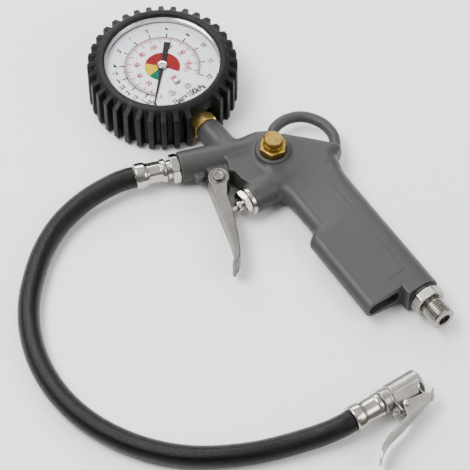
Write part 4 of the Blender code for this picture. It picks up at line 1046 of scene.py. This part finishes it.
def thicken(shape, height, **options):
    """Turns flat faces into closed plates."""
    grown = bmesh.ops.extrude_face_region(shape, geom=shape.faces[:], **options)["geom"]
    corners = [item for item in grown if isinstance(item, bmesh.types.BMVert)]
    bmesh.ops.translate(shape, verts=corners, vec=(0, 0, height))
    bmesh.ops.recalc_face_normals(shape, faces=shape.faces)


def flat_piece(name, shape, material):
    """Printed marks: closed patches of ink just above the dial."""
    thicken(shape, INK_THICKNESS * MM, use_keep_orig=True)
    fitted(from_bmesh(name, shape, material), "gun", None)


def add_sector(shape, inner, outer, start, end, z=PRINT_Z):
    count = max(2, int(abs(end - start) / 2.0) + 1)
    for step in range(count):
        first, second = (start + (end - start) * share / count for share in (step, step + 1))
        corners = [(inner, first), (outer, first), (outer, second), (inner, second)]
        places = [world((*(turn(angle) * radius), z), GAUGE_AT) for radius, angle in corners]
        shape.faces.new([shape.verts.new(place) for place in places])


def add_tick(shape, angle, inner, outer, width):
    along, across = turn(angle), turn(angle + 90.0)
    corners = [along * reach + across * side * width / 2
               for reach, side in ((inner, -1), (outer, -1), (outer, 1), (inner, 1))]
    shape.faces.new([shape.verts.new(world((*corner, PRINT_Z), GAUGE_AT)) for corner in corners])


def add_text(shape, words, plan, size, squeeze, weight):
    """plan is in the gauge's own millimetres, with the dial's up direction opposite to the stem."""
    label = bpy.data.curves.new("label", "FONT")
    label.body = words
    label.size = size * MM
    label.align_x, label.align_y = "CENTER", "CENTER"
    label.offset = weight * MM
    holder = placed("label", label)
    bpy.context.view_layer.update()
    mesh = bpy.data.meshes.new_from_object(holder.evaluated_get(bpy.context.evaluated_depsgraph_get()))
    upright = math.radians(STEM_ANGLE + 90.0)
    matrix = Matrix.Translation(world((*plan, PRINT_Z), GAUGE_AT)) @ Matrix.Rotation(upright, 4, "Z")
    mesh.transform(matrix @ Matrix.Diagonal((squeeze, 1, 1, 1)))
    shape.from_mesh(mesh)
    bpy.data.objects.remove(holder)
    bpy.data.curves.remove(label)
    bpy.data.meshes.remove(mesh)


BAR_ANGLES = (262.0, 247.8, 225.7, 203.8, 180.0, 156.0, 133.0, 109.6, 85.0, 58.0, 34.0, 8.3, -15.8)


def bar_angle(value):
    return float(np.interp(value, range(13), BAR_ANGLES)) - DIAL_TURN


def make_dial(look):
    black, red = bmesh.new(), bmesh.new()
    add_sector(black, 20.75, 21.3, bar_angle(0), bar_angle(12))
    for tenth in range(0, 121):
        if tenth > 40 and tenth % 2:
            continue
        value = tenth / 10
        major, half = tenth % 10 == 0, tenth % 5 == 0
        add_tick(black, bar_angle(value), 21.0, 24.3 if major else 22.9 if half else 22.2, 0.78 if major else 0.36)
    for value in (*range(13), 0.5, 1.5, 2.5, 3.5):
        small = value != int(value)
        radius = 26.7 if value < 10 else 27.4
        add_text(black, str(value), turn(bar_angle(value)) * radius, 3.3 if small else 4.2, 0.78, 0.19)
    add_sector(red, 19.95, 20.35, bar_angle(0), bar_angle(12))
    for psi in range(0, 175, 2):
        ten = psi % 10 == 0
        add_tick(red, bar_angle(psi * BAR_PER_PSI), 17.3 if ten else 18.8, 20.2, 0.6 if ten else 0.3)
    for psi in (*range(20, 161, 20), 170):
        add_text(red, str(psi), turn(bar_angle(psi * BAR_PER_PSI)) * 14.3, 4.3, 0.74, 0.16)
    down, right = turn(STEM_ANGLE), turn(STEM_ANGLE + 90.0)
    add_text(red, "psi", down * 10.0 + right * 0.4, 4.1, 0.8, 0.14)
    add_text(black, "bar", down * 14.2 + right * 0.3, 4.1, 0.8, 0.16)
    add_text(black, "1bar=100kPa", down * 25.2 + right * 0.2, 5.4, 0.74, 0.18)
    flat_piece("dial_black_print", black, look["black_ink"])
    flat_piece("dial_red_print", red, look["pink_ink"])
    for name, colour, start, end in (
        ("dial_green_sector", "green_ink", 257.0, 223.0), ("dial_yellow_sector", "yellow_ink", 223.0, 168.0),
        ("dial_red_sector", "red_ink", 168.0, -22.0),
    ):
        patch = bmesh.new()
        add_sector(patch, 2.2, 10.0, start - DIAL_TURN, end - DIAL_TURN, PRINT_Z - 0.01)
        flat_piece(name, patch, look[colour])


def make_gauge(look):
    make_boot(look)
    at = (GAUGE_AT, 0.0, 0.0)
    bezel = [(32.3, 23.3), (33.9, 23.3), (33.9, 28.0), (32.3, 28.0), (32.2, 27.4), (31.6, 27.2), (31.5, 26.2),
             (32.2, 25.8)]
    fitted(spun("bezel_turned", bezel, look["bright"], at, closed=True, upright=True, steps=192, soft=0.15), "gun",
           "gauge_bezel")
    hub = [(2.75, 24.55), (2.75, 25.2), (2.45, 25.62), (1.5, 25.75), (1.3, 25.6), (0.5, 25.6)]
    reach = np.linalg.norm(np.subtract(STEM_FOOT, GAUGE_AT))
    mouth = reach - SOCKET_LENGTH
    stem = [(1.5, 24.0), (6.0, 24.0), (6.0, 35.4), *hex_rows(14.0, 35.6, mouth - 1.4), (4.86, mouth - 1.35),
            (4.86, mouth + 9.0), (1.5, mouth + 9.0)]
    made = spun("stem_turned", stem, look["brass"], (GAUGE_AT, MID, STEM_ANGLE), closed=True, soft=0.1, steps=144,
                shape=hexagonal(14.0, 30.0, 35.6, mouth - 1.4))
    shape = bmesh.new()
    shape.from_mesh(made.data)
    low, high = (8.0, -8.3, 5.0), (30.0, 8.3, 12.3)
    block = bmesh.ops.create_cube(shape, size=1.0)["verts"]
    for vert in block:
        corner = [high[axis] if vert.co[axis] > 0 else low[axis] for axis in range(3)]
        vert.co = Vector(world(corner, GAUGE_AT, 0.0, STEM_ANGLE))
    edges = [edge for edge in shape.edges if edge.verts[0] in block]
    bmesh.ops.bevel(shape, geom=edges, offset=0.5 * MM, segments=3, profile=0.5, affect="EDGES")
    shape.to_mesh(made.data)
    shape.free()
    made.data.set_sharp_from_angle(angle=TURNED_EDGE)
    fitted(made, "gun", "gauge_socket")
    for side, angle in (("left", 8.9), ("right", -20.1)):
        post_at = walk(GAUGE_AT, STEM_ANGLE + angle, 20.0)
        post = spun(f"dial_post_{side}", [(2.0, 12.0), (2.0, 22.8)], look["brass"], (post_at, 0.0, 0.0), upright=True,
                    steps=32)
        fitted(post, "gun", None)
        slot_at = 33.0 + 21.0 * angle

        def screw(x, y, z, slot_at=slot_at):
            c, s = turn(slot_at)
            body = meet(np.hypot(x, y) - 1.95, np.abs(z - 24.0) - 0.6, 0.35)
            return cut(body, np.maximum(np.abs(x * s - y * c) - 0.3, 24.15 - z), 0.06)
        made = skinned(f"dial_screw_{side}_head", screw, (-2.3, -2.3, 23.2), (2.3, 2.3, 24.9), 0.1, look["screw"],
                       plan=post_at)
        fitted(made, "gun", f"dial_screw_{side}")
    make_dial(look)
    corners = [(2.8, -1.0), (27.5, -0.3), (27.5, 0.3), (2.8, 1.0)]
    corners += [tuple(turn(angle) * 3.0) for angle in range(20, 166, 12)]
    corners += [(-3.4, 1.1), (-17.2, 1.9), (-17.3, 1.75), (-17.3, -1.75), (-17.2, -1.9), (-3.4, -1.1)]
    corners += [tuple(turn(angle) * 3.0) for angle in range(195, 341, 12)]
    hand = bmesh.new()
    hand.faces.new([hand.verts.new((*point, HAND_Z)) for point in corners])
    thicken(hand, HAND_THICKNESS)
    top = [edge for edge in hand.edges if min(vert.co.z for vert in edge.verts) > HAND_Z + 0.3]
    bmesh.ops.bevel(hand, geom=top, offset=0.08, segments=2, profile=0.5, affect="EDGES")
    for vert in hand.verts:
        vert.co = Vector(world(vert.co, GAUGE_AT, 0.0, ZERO_ANGLE))
    fitted(from_bmesh("pointer_hand", hand, look["pointer"]), "pointer", "gauge_pointer")
    fitted(spun("pointer_cap", hub, look["bright"], at, upright=True, steps=64, soft=0.08), "pointer", None)


INKS = {
    "black_ink": (0.005, 0.005, 0.008), "pink_ink": (0.36, 0.006, 0.03), "green_ink": (0.004, 0.115, 0.065),
    "yellow_ink": (0.58, 0.38, 0.0), "red_ink": (0.20, 0.012, 0.012),
}


def make_looks():
    nickel = plated("nickel_plate", (0.56, 0.535, 0.49), (0.43, 0.41, 0.375), 0.2, grain=0.25)
    satin = plated("satin_nickel_cast", (0.40, 0.382, 0.35), (0.31, 0.295, 0.268), 0.34, cast=0.9)
    lever = plated("lever_nickel_cast", (0.185, 0.175, 0.159), (0.135, 0.128, 0.116), 0.38, cast=0.8)
    coupling = plated("coupling_nickel", (0.36, 0.342, 0.31), (0.28, 0.266, 0.24), 0.27, grain=0.3)
    return {
        "paint": grey_paint(), "nickel": nickel, "satin": satin, "lever": lever, "coupling": coupling,
        "steel": steel("plain_steel", (0.58, 0.58, 0.58), 0.3),
        "bright": steel("bright_steel", (0.72, 0.72, 0.73), 0.16),
        "screw": steel("screw_steel", (0.56, 0.55, 0.53), 0.3), "zinc": yellow_zinc(), "brass": polished_brass(),
        "boot": boot_rubber(), "hose": hose_rubber(), "seal": seal_rubber(), "enamel": dial_enamel(),
        "pointer": ink("pointer_paint", (0.018, 0.018, 0.02)), "window": clear_window(),
        **{name: ink(name, colour) for name, colour in INKS.items()},
    }


KEPT_NODES = {
    "seal": ("valve_gland_packing", "poppet_seal", "bleed_button_seal", "inlet_seal_washer", "chuck_seal",
             "gauge_stem_washer"),
    "steel": ("trigger_pin_clip", "chuck_lever_spring", "gauge_case", "bourdon_link",
              "hairspring"),
    "brass": ("valve_seat_ring", "chuck_depressor", "pointer_arbor", "bourdon_tube", "sector_gear",
              "movement_plate_lower", "movement_plate_upper", "movement_pillar_block", "movement_pillar_sector"),
    "enamel": ("gauge_dial",), "window": ("gauge_lens",),
    "bright": ("pointer_stop_pin",),
}


def main():
    make_stage()
    look = make_looks()
    hose, path, length = make_hose(look["hose"])
    gun_ferrule = make_ferrule("ferrule_gun_turned", "hose_ferrule_gun", ((-25.3, 0.0), MID, 0.0), look, 6.0, 0.32)
    far_at = (walk(CHUCK_MOUTH, CHUCK_ANGLE, -42.4), CHUCK_Z, CHUCK_ANGLE)
    far_ferrule = make_ferrule("ferrule_chuck_turned", "hose_ferrule_chuck", far_at, look, 6.35, 0.12)
    on_hose = [gun_ferrule, far_ferrule, *make_chuck(look)]
    on_hose += [frame["nodes"][name] for name in ("chuck_seal", "chuck_depressor", "chuck_lever_spring")]
    make_gun(look)
    make_springs(look)
    make_gauge(look)
    for name, nodes in KEPT_NODES.items():
        for node in nodes:
            for slot in frame["nodes"][node].material_slots:
                slot.material = look[name]


main()
